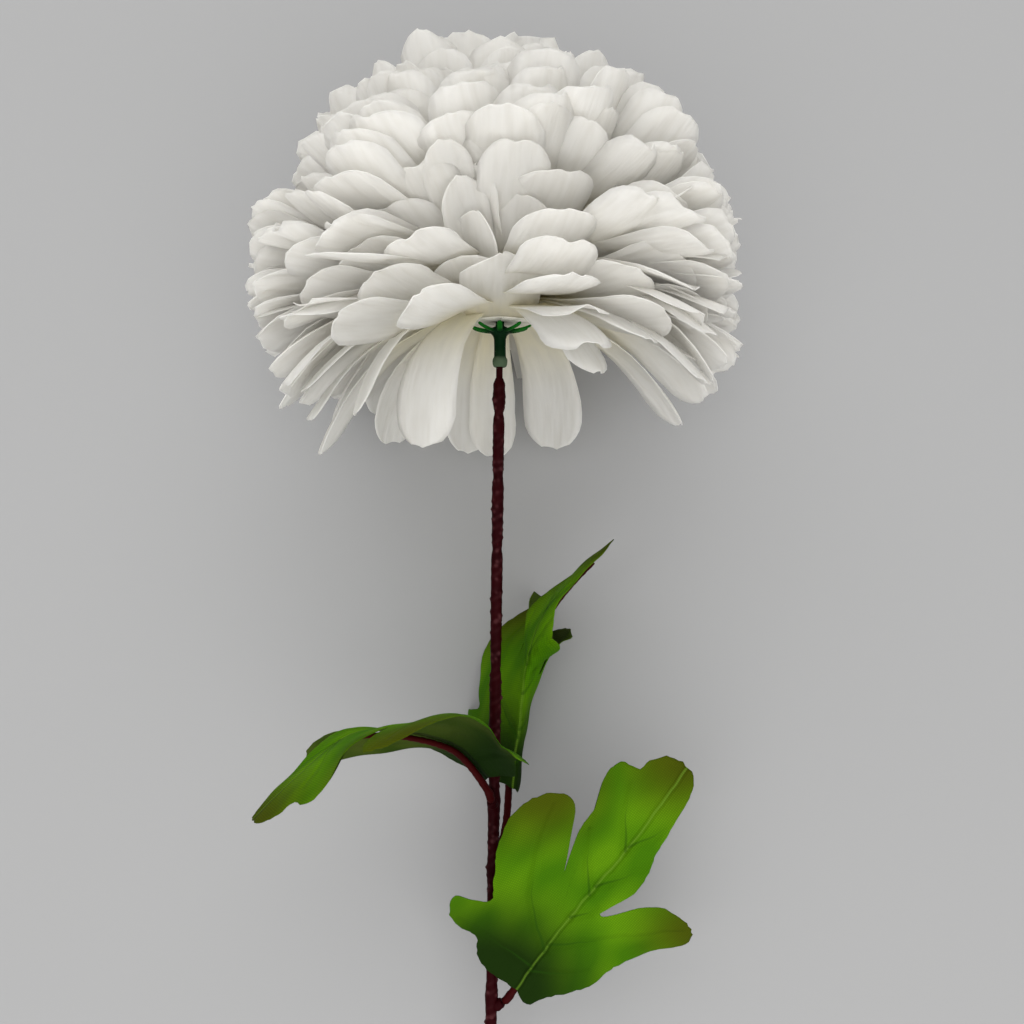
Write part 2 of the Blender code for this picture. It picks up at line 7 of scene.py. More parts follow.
import bpy
import numpy as np
from mathutils import Matrix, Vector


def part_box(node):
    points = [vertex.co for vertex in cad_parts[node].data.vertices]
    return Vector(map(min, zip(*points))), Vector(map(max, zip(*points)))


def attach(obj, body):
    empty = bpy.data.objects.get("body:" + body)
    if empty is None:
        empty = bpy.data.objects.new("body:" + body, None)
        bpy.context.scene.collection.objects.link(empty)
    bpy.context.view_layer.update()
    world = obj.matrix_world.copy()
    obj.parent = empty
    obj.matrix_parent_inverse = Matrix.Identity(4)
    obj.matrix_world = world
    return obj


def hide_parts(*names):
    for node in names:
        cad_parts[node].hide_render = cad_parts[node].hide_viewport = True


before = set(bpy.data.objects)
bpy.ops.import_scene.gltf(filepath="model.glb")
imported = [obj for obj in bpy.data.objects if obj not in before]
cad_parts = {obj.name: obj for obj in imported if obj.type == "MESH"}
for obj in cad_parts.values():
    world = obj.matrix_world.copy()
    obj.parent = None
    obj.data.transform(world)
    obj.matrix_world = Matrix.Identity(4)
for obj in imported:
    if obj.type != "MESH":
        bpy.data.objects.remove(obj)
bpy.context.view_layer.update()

# Sizes shared with the solids, in millimetres
STEM_LENGTH = 400.0
STEM_END_RADIUS = 2.1
STEM_SIDES = 10
STEM_LEAN = 0.0127
WIRE_TOP = -25.0
WIRE_END = -STEM_LENGTH - 0.8
LIE_TILT = np.radians(10.5)
LIFT = STEM_LENGTH * np.sin(LIE_TILT) + STEM_END_RADIUS * np.cos(np.pi / STEM_SIDES) * np.cos(LIE_TILT)
PETAL_THICKNESS = 0.3
PETAL_BASE = 0.42
PETAL_SWELL = 0.84
LEAF_THICKNESS = 0.5
LOBE_SWEEP = 0.75
LEAF_HEART = (25.0, 0.0)
PIN_TOP = 29.0
PIN_HOLE_RADIUS = 2.0
CALYX_RADIUS = 12.5
SPOKES = 9

rng = np.random.default_rng(7)


def flower_shift():
    """Where the solids put the flower's frame: the wire's box has its middle on the wire's middle."""
    low, high = (np.array(corner) * 1000 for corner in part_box("stem_wire"))
    half_way = (WIRE_TOP + WIRE_END) / 2
    return (low + high)[:2] / 2 - (STEM_LEAN * half_way, half_way * np.cos(LIE_TILT))


SHIFT = flower_shift()


def lay_down(points):
    """The stem turned down by its slope, lifted onto the table and moved to the solids' place, in
    metres: across = y cos - z sin, up = y sin + z cos + lift."""
    x, y, z = np.moveaxis(np.asarray(points, float), -1, 0)
    across = y * np.cos(LIE_TILT) - z * np.sin(LIE_TILT)
    up = y * np.sin(LIE_TILT) + z * np.cos(LIE_TILT) + LIFT
    return np.stack([x + SHIFT[0], across + SHIFT[1], up], axis=-1) / 1000


# Mesh helpers

def make_piece(name, points, quads, material, node, marks=None, smooth=True):
    """A finished piece from points in metres and faces of four corners, with its point marks."""
    mesh = bpy.data.meshes.new(name)
    mesh.vertices.add(len(points))
    mesh.vertices.foreach_set("co", np.asarray(points, np.float32).ravel())
    quads = np.asarray(quads, np.int32)
    mesh.loops.add(quads.size)
    mesh.loops.foreach_set("vertex_index", quads.ravel())
    mesh.polygons.add(len(quads))
    mesh.polygons.foreach_set("loop_start", np.arange(0, quads.size, quads.shape[1], dtype=np.int32))
    mesh.polygons.foreach_set("use_smooth", np.full(len(quads), smooth))
    mesh.update(calc_edges=True)
    for mark, values in (marks or {}).items():
        values = np.asarray(values, np.float32)
        kind = "FLOAT_VECTOR" if values.ndim == 2 else "FLOAT"
        field = "vector" if values.ndim == 2 else "value"
        mesh.attributes.new(mark, kind, "POINT").data.foreach_set(field, values.ravel())
    mesh.materials.append(material)
    mesh.validate()
    piece = bpy.data.objects.new(name, mesh)
    bpy.context.scene.collection.objects.link(piece)
    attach(piece, "root")
    if node:
        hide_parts(node)
    return piece


def blade_quads(rows, columns):
    """Faces of one closed thin blade: upper grid, lower grid turned over, and the rim between."""
    index = np.arange(rows * columns).reshape(rows, columns)
    corners = (index[:-1, :-1], index[1:, :-1], index[1:, 1:], index[:-1, 1:])
    upper = np.stack(corners, -1).reshape(-1, 4)
    lower = upper[:, [0, 3, 2, 1]] + rows * columns
    loop = np.concatenate([index[0, :-1], index[:-1, -1], index[-1, :0:-1], index[:0:-1, 0]])
    after = np.roll(loop, -1)
    rim = np.stack([loop, after, after + rows * columns, loop + rows * columns], -1)
    return np.concatenate([upper, lower, rim])


def loop_quads(rings, sides):
    """Faces of a tube of rings, each closed on itself."""
    i, j = np.meshgrid(np.arange(rings - 1), np.arange(sides), indexing="ij")
    k = (j + 1) % sides
    return np.stack([i * sides + j, (i + 1) * sides + j, (i + 1) * sides + k, i * sides + k], -1).reshape(-1, 4)


def turned_out(points, quads):
    """The faces turned over if the closed surface that they make has its inside outwards."""
    a, b, c, d = (points[quads[:, k]] for k in range(4))
    volume = np.einsum("ij,ij->i", a + b + c + d, np.cross(c - a, d - b)).sum()
    return quads if volume > 0 else quads[:, ::-1]


def smooth_line(knots, count, closed=False):
    """Catmull-Rom line through the knots, read at evenly spaced distances along it."""
    knots = np.asarray(knots, float)
    if closed:
        padded = np.vstack([knots[-1], knots, knots[:2]])
        spans = len(knots)
    else:
        padded = np.vstack([2 * knots[0] - knots[1], knots, 2 * knots[-1] - knots[-2]])
        spans = len(knots) - 1
    t = np.linspace(0, spans, 60 * spans)
    k = np.minimum(t.astype(int), spans - 1)
    f = (t - k)[:, None]
    p0, p1, p2, p3 = padded[k], padded[k + 1], padded[k + 2], padded[k + 3]
    dense = 0.5 * (2 * p1 + (p2 - p0) * f + (2 * p0 - 5 * p1 + 4 * p2 - p3) * f**2
                   + (3 * p1 - p0 - 3 * p2 + p3) * f**3)
    run = np.concatenate([[0], np.cumsum(np.linalg.norm(np.diff(dense, axis=0), axis=1))])
    at = np.linspace(0, run[-1], count, endpoint=not closed)
    return np.stack([np.interp(at, run, dense[:, i]) for i in range(dense.shape[1])], axis=1)


def soft_step(low, high, value):
    """0 below low, 1 above high, and an even S between."""
    t = np.clip((value - low) / (high - low), 0, 1)
    return t * t * (3 - 2 * t)


# Shader helpers

def new_group(name, inputs, outputs):
    group = bpy.data.node_groups.new(name, "ShaderNodeTree")
    for label, kind, value in inputs:
        socket = group.interface.new_socket(name=label, in_out="INPUT", socket_type=kind)
        if value is not None:
            socket.default_value = value
    for label, kind in outputs:
        group.interface.new_socket(name=label, in_out="OUTPUT", socket_type=kind)
    return group, group.nodes.new("NodeGroupInput"), group.nodes.new("NodeGroupOutput")


def add(tree, kind, settings=None, **inputs):
    """A node with its settings and its inputs, each a value or another node's output."""
    node = tree.nodes.new(kind)
    for key, value in (settings or {}).items():
        setattr(node, key, value)
    for key, value in inputs.items():
        socket = node.inputs[int(key[1:])] if key[0] == "i" and key[1:].isdigit() else node.inputs[key.replace("_", " ")]
        if isinstance(value, bpy.types.NodeSocket):
            tree.links.new(value, socket)
        else:
            socket.default_value = value
    return node


def maths(tree, operation, a, b=0.0, c=0.0, clamp=False):
    return add(tree, "ShaderNodeMath", {"operation": operation, "use_clamp": clamp}, i0=a, i1=b, i2=c).outputs[0]


def blend_colour(tree, share, a, b):
    node = add(tree, "ShaderNodeMix", {"data_type": "RGBA"}, i0=share, i6=a, i7=b)
    return node.outputs[2]


def mark_of(tree, name, output="Fac"):
    node = tree.nodes.new("ShaderNodeAttribute")
    node.attribute_name = name
    return node.outputs[output]


def make_weave_group():
    """Plain woven cloth: height of the threads and of the slack between creases, and a soft
    mottle, from cloth coordinates in millimetres (across, along, number of the piece)."""
    group, given, put = new_group(
        "cloth_weave",
        (("Cloth", "NodeSocketVector", None), ("Threads per mm", "NodeSocketFloat", 2.2),
         ("Pleats", "NodeSocketFloat", 1.0)),
        (("Height", "NodeSocketFloat"), ("Mottle", "NodeSocketFloat"), ("Threads", "NodeSocketFloat")),
    )
    tree = group
    scaled = add(tree, "ShaderNodeVectorMath", {"operation": "SCALE"}, Vector=given.outputs["Cloth"],
                 Scale=given.outputs["Threads per mm"]).outputs[0]
    warp = add(tree, "ShaderNodeTexWave", {"bands_direction": "X"}, Vector=scaled, Scale=0.5,
               Distortion=0.0, Detail=0.0).outputs["Fac"]
    weft = add(tree, "ShaderNodeTexWave", {"bands_direction": "Y"}, Vector=scaled, Scale=0.5,
               Distortion=0.0, Detail=0.0).outputs["Fac"]
    threads = maths(tree, "MAXIMUM", warp, weft)
    drawn = add(tree, "ShaderNodeMapping", None, Vector=given.outputs["Cloth"], Scale=(0.45, 0.07, 1.0)).outputs[0]
    pleats = add(tree, "ShaderNodeTexNoise", None, Vector=drawn, Scale=1.0, Detail=1.5,
                 Roughness=0.55).outputs["Fac"]
    soft = add(tree, "ShaderNodeMapping", None, Vector=given.outputs["Cloth"], Scale=(0.09, 0.05, 1.0)).outputs[0]
    mottle = add(tree, "ShaderNodeTexNoise", None, Vector=soft, Scale=1.0, Detail=0.0).outputs["Fac"]
    pleated = maths(tree, "MULTIPLY", pleats, given.outputs["Pleats"])
    height = maths(tree, "MULTIPLY_ADD", threads, 0.06, pleated)
    tree.links.new(height, put.inputs["Height"])
    tree.links.new(mottle, put.inputs["Mottle"])
    tree.links.new(threads, put.inputs["Threads"])
    return group


def make_moulded_group():
    """Moulded plastic: height of fine pits and of shallow drawn waves, and a soft mottle, from
    Object coordinates."""
    group, given, put = new_group(
        "moulded_skin", (("Scale", "NodeSocketFloat", 900.0),),
        (("Height", "NodeSocketFloat"), ("Mottle", "NodeSocketFloat")),
    )
    where = add(group, "ShaderNodeTexCoord").outputs["Object"]
    fine = add(group, "ShaderNodeTexNoise", None, Vector=where, Scale=given.outputs["Scale"], Detail=3.0).outputs["Fac"]
    broad = add(group, "ShaderNodeTexNoise", None, Vector=where, Scale=110.0, Detail=2.0).outputs["Fac"]
    height = maths(group, "MULTIPLY_ADD", fine, 0.35, broad)
    group.links.new(height, put.inputs["Height"])
    group.links.new(broad, put.inputs["Mottle"])
    return group


# Veins of a leaf laid flat, each a line of points: distance along the rib, distance to the right of it
VEINS = (
    ((-1, 0), (109, 0)),
    ((22, 0), (32, 11), (47, 25), (58, 36)),
    ((19, 0), (36, -18), (52, -28), (70, -35)),
    ((11, 0), (13, -15), (17, -38)),
    ((9, 0), (16, 12), (22, 18)),
    ((52, 0), (62, 6), (71, 10)),
    ((48, 0), (58, -9), (69, -16)),
    ((72, 0), (82, 5), (92, 8)),
    ((70, 0), (81, -9), (92, -14)),
    ((36, 0), (42, 4), (46, 5)),
)


def make_vein_group():
    """Distance in millimetres to the rib and to the nearest side vein, from cloth coordinates:
    each stretch of a vein is a straight line, a side vein counts as further off towards its end,
    and the cloth is pushed a little aside by noise first."""
    group, given, put = new_group("leaf_veins", (("Cloth", "NodeSocketVector", None),),
                                  (("Rib", "NodeSocketFloat"), ("Side", "NodeSocketFloat")))
    tree = group

    def vector(operation, a, b):
        return add(tree, "ShaderNodeVectorMath", {"operation": operation}, i0=a, i1=b)

    noise = add(tree, "ShaderNodeTexNoise", None, Vector=given.outputs["Cloth"], Scale=0.11, Detail=1.0)
    moved = vector("MULTIPLY_ADD", noise.outputs["Color"], (1.6, 1.6, 0.0))
    tree.links.new(given.outputs["Cloth"], moved.inputs[2])
    flat = vector("MULTIPLY", moved.outputs[0], (1.0, 1.0, 0.0)).outputs[0]
    flat = vector("SUBTRACT", flat, (0.8, 0.8, 0.0)).outputs[0]
    nearest = []
    for line in VEINS:
        for n, (a, b) in enumerate(zip(line[:-1], line[1:])):
            way = (float(b[1] - a[1]), float(b[0] - a[0]), 0.0)
            long = way[0]**2 + way[1]**2
            off = vector("SUBTRACT", flat, (float(a[1]), float(a[0]), 0.0)).outputs[0]
            run = maths(tree, "MULTIPLY", vector("DOT_PRODUCT", off, way).outputs["Value"], 1 / long, clamp=True)
            foot = add(tree, "ShaderNodeVectorMath", {"operation": "SCALE"}, i0=way, Scale=run).outputs[0]
            distance = vector("DISTANCE", off, foot).outputs["Value"]
            if line is not VEINS[0]:
                distance = maths(tree, "ADD", maths(tree, "MULTIPLY_ADD", run, 0.5, 0.5 * n), distance)
            nearest.append(distance)
    side = nearest[1]
    for distance in nearest[2:]:
        side = maths(tree, "MINIMUM", side, distance)
    tree.links.new(nearest[0], put.inputs["Rib"])
    tree.links.new(side, put.inputs["Side"])
    return group


WEAVE = make_weave_group()
LEAF_VEINS = make_vein_group()
MOULDED = make_moulded_group()


def new_material(name):
    material = bpy.data.materials.new(name)
    material.use_nodes = True
    tree = material.node_tree
    tree.nodes.clear()
    return material, tree, tree.nodes.new("ShaderNodeOutputMaterial")


def use_group(tree, group, **inputs):
    node = tree.nodes.new("ShaderNodeGroup")
    node.node_tree = group
    for key, value in inputs.items():
        socket = node.inputs[key.replace("_", " ")]
        if isinstance(value, bpy.types.NodeSocket):
            tree.links.new(value, socket)
        else:
            socket.default_value = value
    return node


def make_petal_cloth():
    """White cloth that lets part of the light through, painted cream towards the root as the warm shade
    deep in the bloom, and painted greyer in the creases of its pleats as shade.
    """
    material, tree, out = new_material("white_petal_cloth")
    weave = use_group(tree, WEAVE, Cloth=mark_of(tree, "cloth", "Vector"), Pleats=1.0)
    root = mark_of(tree, "root")
    # Painted shade: cream towards the root stands in for the warm shade deep in the bloom.
    white_and_root_shade = blend_colour(tree, root, (0.972, 0.965, 0.945, 1), (0.965, 0.93, 0.79, 1))
    # Painted shade: the cloth is painted greyer in the creases of its pleats, where the weave's height is low.
    crease = add(tree, "ShaderNodeMapRange", None, Value=weave.outputs["Height"])
    crease.inputs["From Min"].default_value = 0.62
    crease.inputs["From Max"].default_value = 0.30
    crease.inputs["To Max"].default_value = 0.38
    colour = blend_colour(tree, crease.outputs[0], white_and_root_shade, (0.84, 0.825, 0.785, 1))
    bump = add(tree, "ShaderNodeBump", None, Strength=0.8, Distance=0.0012, Height=weave.outputs["Height"])
    shader = add(tree, "ShaderNodeBsdfPrincipled", None, Base_Color=colour, Roughness=0.82,
                 Normal=bump.outputs[0])
    shader.inputs["Specular IOR Level"].default_value = 0.15
    through = add(tree, "ShaderNodeBsdfTranslucent", None, Color=colour)
    mixed = add(tree, "ShaderNodeMixShader", None, Fac=0.66, i1=shader.outputs[0], i2=through.outputs[0])
    tree.links.new(mixed.outputs[0], out.inputs["Surface"])
    return material


def make_heart_cloth():
    """Crowded petal roots seen in the depth of the bloom: cloth with drawn folds, painted cream as the
    warm shade deep in the bloom.
    """
    material, tree, out = new_material("cream_heart_cloth")
    weave = use_group(tree, WEAVE, Cloth=mark_of(tree, "cloth", "Vector"), Pleats=1.6)
    # Painted shade: both creams stand in for the warm shade deep in the bloom; the mottle between them is random.
    colour = blend_colour(tree, weave.outputs["Mottle"], (0.95, 0.92, 0.82, 1), (0.91, 0.87, 0.74, 1))
    bump = add(tree, "ShaderNodeBump", None, Strength=0.8, Distance=0.0015, Height=weave.outputs["Height"])
    shader = add(tree, "ShaderNodeBsdfPrincipled", None, Base_Color=colour, Roughness=0.9, Normal=bump.outputs[0])
    tree.links.new(shader.outputs[0], out.inputs["Surface"])
    return material


def fall_off(tree, distance, near, far, share):
    """The share within the near distance, and evenly less of it up to the far distance."""
    node = add(tree, "ShaderNodeMapRange", {"interpolation_type": "SMOOTHSTEP"}, i0=distance)
    node.inputs["From Min"].default_value = near
    node.inputs["From Max"].default_value = far
    node.inputs["To Min"].default_value = share
    node.inputs["To Max"].default_value = 0.0
    return node.outputs[0]


def make_leaf_cloth():
    """Printed leaf cloth: bright green, dark at the base, brown at the lobes' ends and pale along the rib,
    with painted shade as dark lines along the side veins; darker and duller underneath, partly the
    back's own colour and partly painted shade."""
    material, tree, out = new_material("printed_leaf_cloth")
    weave = use_group(tree, WEAVE, Cloth=mark_of(tree, "cloth", "Vector"), Threads_per_mm=0.8, Pleats=0.30)
    mottle = weave.outputs["Mottle"]
    patch = maths(tree, "MULTIPLY_ADD", mottle, 2.6, -0.8, clamp=True)
    green = blend_colour(tree, patch, (0.072, 0.232, 0.0012, 1), (0.142, 0.350, 0.0028, 1))
    based = blend_colour(tree, mark_of(tree, "base"), green, (0.009, 0.026, 0.002, 1))
    ended = blend_colour(tree, mark_of(tree, "lobe_end"), based, (0.078, 0.068, 0.0015, 1))
    veins = use_group(tree, LEAF_VEINS, Cloth=mark_of(tree, "cloth", "Vector"))
    rib = fall_off(tree, veins.outputs["Rib"], 0.1, 0.75, 0.5)
    ribbed = blend_colour(tree, rib, ended, (0.19, 0.36, 0.03, 1))
    # Painted shade: dark lines along the side veins stand in for the shade in their creases.
    side = fall_off(tree, veins.outputs["Side"], 0.2, 1.0, 0.5)
    veined_with_crease_shade = blend_colour(tree, side, ribbed, (0.016, 0.070, 0.002, 1))
    # Painted shade: the underside is darker green than the top, partly the back's own duller colour and partly painted
    # shade.
    below = blend_colour(tree, patch, (0.040, 0.075, 0.006, 1), (0.085, 0.120, 0.016, 1))
    below = blend_colour(tree, mark_of(tree, "base"), below, (0.007, 0.020, 0.003, 1))
    colour = blend_colour(tree, mark_of(tree, "under"), veined_with_crease_shade, below)
    threads = maths(tree, "MULTIPLY", weave.outputs["Threads"], 0.4)
    colour = blend_colour(tree, threads, colour, (0.012, 0.035, 0.002, 1))
    trough = fall_off(tree, veins.outputs["Rib"], 0.0, 1.7, -0.9)
    pleat = fall_off(tree, veins.outputs["Side"], 0.0, 3.2, -0.8)
    height = maths(tree, "ADD", maths(tree, "ADD", trough, pleat), weave.outputs["Height"])
    bump = add(tree, "ShaderNodeBump", None, Strength=0.9, Distance=0.0010, Height=height)
    shader = add(tree, "ShaderNodeBsdfPrincipled", None, Base_Color=colour, Roughness=0.7,
                 Normal=bump.outputs[0])
    shader.inputs["Specular IOR Level"].default_value = 0.04
    through = add(tree, "ShaderNodeBsdfTranslucent", None, Color=colour, Normal=bump.outputs[0])
    mixed = add(tree, "ShaderNodeMixShader", None, Fac=0.22, i1=shader.outputs[0], i2=through.outputs[0])
    tree.links.new(mixed.outputs[0], out.inputs["Surface"])
    return material


def make_moulded_plastic(name, dark, light, roughness, marked=()):
    """Moulded plastic in two close shades, with a fine uneven skin and marked places in other shades,
    which are painted highlights and painted light.
    """
    material, tree, out = new_material(name)
    skin = use_group(tree, MOULDED)
    colour = blend_colour(tree, skin.outputs["Mottle"], (*dark, 1), (*light, 1))
    for mark, share, shade in marked:
        colour = blend_colour(tree, maths(tree, "MULTIPLY", mark_of(tree, mark), share), colour, (*shade, 1))
    bump = add(tree, "ShaderNodeBump", None, Strength=0.6, Distance=0.0003, Height=skin.outputs["Height"])
    rough = maths(tree, "MULTIPLY_ADD", skin.outputs["Mottle"], 0.15, roughness)
    shader = add(tree, "ShaderNodeBsdfPrincipled", None, Base_Color=colour, Roughness=rough,
                 Normal=bump.outputs[0])
    shader.inputs["Specular IOR Level"].default_value = 0.03
    tree.links.new(shader.outputs[0], out.inputs["Surface"])
    return material


def make_wire_steel():
    material, tree, out = new_material("cut_wire_steel")
    skin = use_group(tree, MOULDED, Scale=2600.0)
    colour = blend_colour(tree, skin.outputs["Mottle"], (0.36, 0.36, 0.37, 1), (0.5, 0.5, 0.51, 1))
    bump = add(tree, "ShaderNodeBump", None, Strength=0.4, Distance=0.0001, Height=skin.outputs["Height"])
    shader = add(tree, "ShaderNodeBsdfPrincipled", None, Base_Color=colour, Roughness=0.35, Metallic=1.0,
                 Normal=bump.outputs[0])
    tree.links.new(shader.outputs[0], out.inputs["Surface"])
    return material


petal_cloth = make_petal_cloth()
heart_cloth = make_heart_cloth()
leaf_cloth = make_leaf_cloth()
# Painted highlight: the stem is painted paler pink on its prickles, standing in for their glints.
stem_plastic = make_moulded_plastic(
    "burgundy_stem_plastic", (0.009, 0.0003, 0.0008), (0.026, 0.0007, 0.0020), 0.42,
    (("prickle_highlight", 0.28, (0.16, 0.055, 0.06)),))
stalk_plastic = make_moulded_plastic(
    "red_stalk_plastic", (0.018, 0.0010, 0.0012), (0.048, 0.0030, 0.0035), 0.42)
# Painted highlight and painted light: the rolled bead is painted pale grey-green as the highlight on its ridge, and the
# spokes are painted brighter green towards their tips as light.
calyx_plastic = make_moulded_plastic(
    "green_calyx_plastic", (0.0010, 0.007, 0.002), (0.003, 0.024, 0.007), 0.36,
    (("spoke_light", 0.85, (0.006, 0.120, 0.008)), ("bead", 0.8, (0.085, 0.125, 0.075))))
wire_steel = make_wire_steel()


# Bloom

# Each row: petals, root radius, root height, end radius, end height, arch, width, hollow
LAYERS = (
    (13, 10, 9, 84, -31, 14, 24, 0.20),
    (14, 11, 11, 90, -22, 11, 25, 0.20),
    (15, 12, 14, 94, -13, 8, 26, 0.18),
    (16, 12, 17, 97, -4, 4, 27, 0.12),
    (17, 12, 20, 98, 5, 1, 28, 0.04),
    (17, 12, 23, 98, 14, -2, 29, -0.04),
    (17, 12, 26, 97, 23, -4, 29, -0.08),
    (17, 12, 29, 95, 32, -6, 30, -0.12),
    (17, 12, 32, 92, 41, -7, 30, -0.15),
    (16, 12, 35, 88, 50, -8, 30, -0.18),
    (16, 11, 38, 84, 59, -9, 30, -0.20),
    (15, 11, 41, 79, 67, -9, 30, -0.22),
    (14, 10, 43, 72, 75, -10, 30, -0.24),
    (15, 10, 46, 64, 82, -10, 27, -0.26),
    (14, 9, 48, 55, 89, -10, 26, -0.28),
    (12, 8, 50, 45, 95, -10, 26, -0.30),
    (10, 7, 52, 35, 100, -9, 26, -0.32),
    (8, 5, 55, 24, 104, -8, 25, -0.34),
    (5, 3, 57, 11, 107, -7, 25, -0.36),
)
LAYER_ROWS = 25
CLUMPS = 8
CLUMP_AT = np.radians(78.0)

# Hanging petals of the lowest layer: angle round the stem, end radius, end height, arch, width
SKIRT = (
    (124, 47, -50, 30, 26),
    (147, 62, -38, 26, 18),
    (160, 76, -30, 22, 18),
    (172, 74, -38, 20, 16),
    (186, 80, -30, 20, 16),
    (196, 76, -50, 24, 18),
    (222, 64, -44, 26, 24),
    (250, 48, -48, 30, 20),
    (264, 44, -50, 30, 20),
    (300, 47, -46, 30, 28),
    (345, 76, -38, 20, 21),
    (4, 82, -24, 18, 20),
    (22, 78, -20, 16, 22),
    (46, 74, -14, 14, 24),
)

# Petals that face the viewer over the cup, each set one by one: angle, root radius, root height, end
# radius, end height, arch, width, hollow, twist, share of the width at the root, point of the end
FRONT = (
    (89.1, 11, 1.5, 60.8, 13.9, -4, 29, 0.10, 0.00, 0.85, 0.55),
    (66, 11, 8, 73.4, -4.7, -1, 26, 0.10, -0.10, 0.42, 0.05),
    (63.4, 10, 6, 69.8, -17.3, 6, 26, 0.24, -0.10, 0.42, 0.05),
    (53, 9, 4, 60, -24, 7, 20, 0.22, 0.10, 0.42, 0.50),
    (72.4, 12, 34, 71.8, 39.9, -8, 29, -0.10, 0.05, 0.42, 0.00),
    (73, 12, 27, 78, 26.2, -9, 29, -0.08, -0.08, 0.42, 0.05),
    (73.8, 12, 20, 82.2, 14.4, -8, 28, -0.06, 0.06, 0.42, 0.00),
    (72.9, 12, 14, 83, 3.8, -5, 27, 0.00, -0.05, 0.42, 0.10),
    (96.9, 12, 10, 62.2, 28.8, -5, 16, 0.20, 0.55, 0.60, 0.30),
    (101.2, 12, 12, 69.2, 38.6, -6, 17, 0.20, -0.55, 0.60, 0.20),
    (95.4, 12, 16, 66.6, 43.2, -5, 16, 0.20, 0.65, 0.60, 0.30),
    (104.1, 12, 20, 76.6, 48.4, -7, 18, 0.10, -0.60, 0.60, 0.10),
    (92.2, 12, 22, 73.4, 53.5, -7, 22, 0.00, 0.35, 0.50, 0.20),
    (85.1, 12, 24, 76.8, 47.8, -9, 25, -0.15, -0.15, 0.42, 0.00),
    (88.3, 12, 30, 79.6, 59.2, -10, 27, -0.20, 0.15, 0.42, 0.05),
    (82.1, 12, 12, 62, 34.6, -8, 22, -0.10, 0.35, 0.50, 0.10),
    (103, 12, 7, 57, 15.5, -4, 25, 0.10, -0.15, 0.50, 0.15),
    (109.5, 11, 9, 79.4, -2, -5, 27, 0.10, -0.45, 0.42, 0.10),
    (122, 12, 12, 78, 6, -6, 28, 0.05, -0.50, 0.42, 0.05),
    (132, 12, 9, 82, -6, -4, 27, 0.10, -0.60, 0.42, 0.10),
    (140, 12, 15, 86, 6, -5, 28, 0.05, -0.60, 0.42, 0.00),
    (128, 12, 19, 80, 16, -6, 28, 0.00, -0.45, 0.42, 0.00),
    (111.4, 12, 22, 81, 14.6, -3, 26, -0.05, -0.35, 0.42, 0.00),
    (121, 12, 26, 74, 29, -8, 28, -0.12, -0.25, 0.42, 0.00),
    (112.1, 12, 32, 76.8, 41, -9, 28, -0.16, -0.30, 0.42, 0.00),
    (52, 12, 15, 78, 8, -5, 28, 0.05, 0.45, 0.42, 0.05),
    (45, 12, 10, 81, -4, -3, 27, 0.10, 0.50, 0.42, 0.10),
    (40, 12, 18, 85, 14, -5, 31, 0.05, 0.60, 0.42, 0.00),
    (48, 12, 24, 80, 24, -6, 29, 0.00, 0.45, 0.42, 0.00),
    (32, 12, 11, 86, 0, -3, 27, 0.10, 0.60, 0.42, 0.05),
)


def petal_grids(petals, stations, across):
    """Middle surfaces of many petals at once. Each centreline is a parabola in the plane through
    the stem, from the root to the end with the middle raised by the arch; the width swells from
    the root to a round or pointed end with an uneven edge; the section is hollowed by the square of
    the distance from the middle, waved towards the edge, turned along the petal and swayed aside."""
    u, v = np.meshgrid(stations, across, indexing="ij")
    get = {key: np.array([p[key] for p in petals])[:, None, None] for key in petals[0]}
    v = v[None]
    u = u[None] * (1 - 0.010 * v**2 * u[None]**8)
    u = u * (1 - 0.006 * u**10 * (1 + np.sin(3.9 * v + get["phase"])))
    r0, y0, r1, y1 = get["root_r"], get["root_y"], get["end_r"], get["end_y"]
    length = np.hypot(r1 - r0, y1 - y0)
    rise_r, rise_y = -(y1 - y0) / length, (r1 - r0) / length
    mid_r = (r0 + r1) / 2 + 2 * get["arch"] * rise_r
    mid_y = (y0 + y1) / 2 + 2 * get["arch"] * rise_y
    radial = (1 - u)**2 * r0 + 2 * u * (1 - u) * mid_r + u**2 * r1
    height = (1 - u)**2 * y0 + 2 * u * (1 - u) * mid_y + u**2 * y1
    along_r = (1 - u) * (mid_r - r0) + u * (r1 - mid_r)
    along_y = (1 - u) * (mid_y - y0) + u * (y1 - mid_y)
    size = np.hypot(along_r, along_y)
    swell = get["base"] + (1 - get["base"]) * np.sin(np.clip(u / PETAL_SWELL, 0, 1) * np.pi / 2)**1.2
    end = np.clip(1 - ((u - PETAL_SWELL) / (1.002 - PETAL_SWELL))**2, 0.01, 1)**(0.5 + get["point"])
    half = get["width"] / 2 * np.where(u < PETAL_SWELL, swell, end)
    half = half * (1 + rng.uniform(-0.03, 0.02, half.shape) * (np.abs(v) > 0.9))
    side = v * half
    lift = -get["hollow"] * half * v**2 * (0.5 + u)
    lift = lift + get["wave"] * u**2 * v * np.sin(3.4 * v + get["phase"])
    lift = lift + get["ruffle"] * v**2 * u**2 * np.sin(8 * u + get["phase"])
    lift = lift + get["curl"] * np.clip((u - 0.5) / 0.5, 0, 1)**2
    turn = get["twist"] * (0.35 + 0.65 * u)
    side, lift = side * np.cos(turn) - lift * np.sin(turn), side * np.sin(turn) + lift * np.cos(turn)
    side = side + get["sway"] * u**2
    radial = radial - along_y / size * lift
    height = height + along_r / size * lift
    c, s = np.cos(get["angle"]), np.sin(get["angle"])
    cloth = np.stack([v * half, u * length, np.broadcast_to(get["phase"] * 9, half.shape)], axis=-1)
    grid = np.stack([radial * c - side * s, height, radial * s + side * c], axis=-1)
    return grid, cloth, np.broadcast_to(u, half.shape)


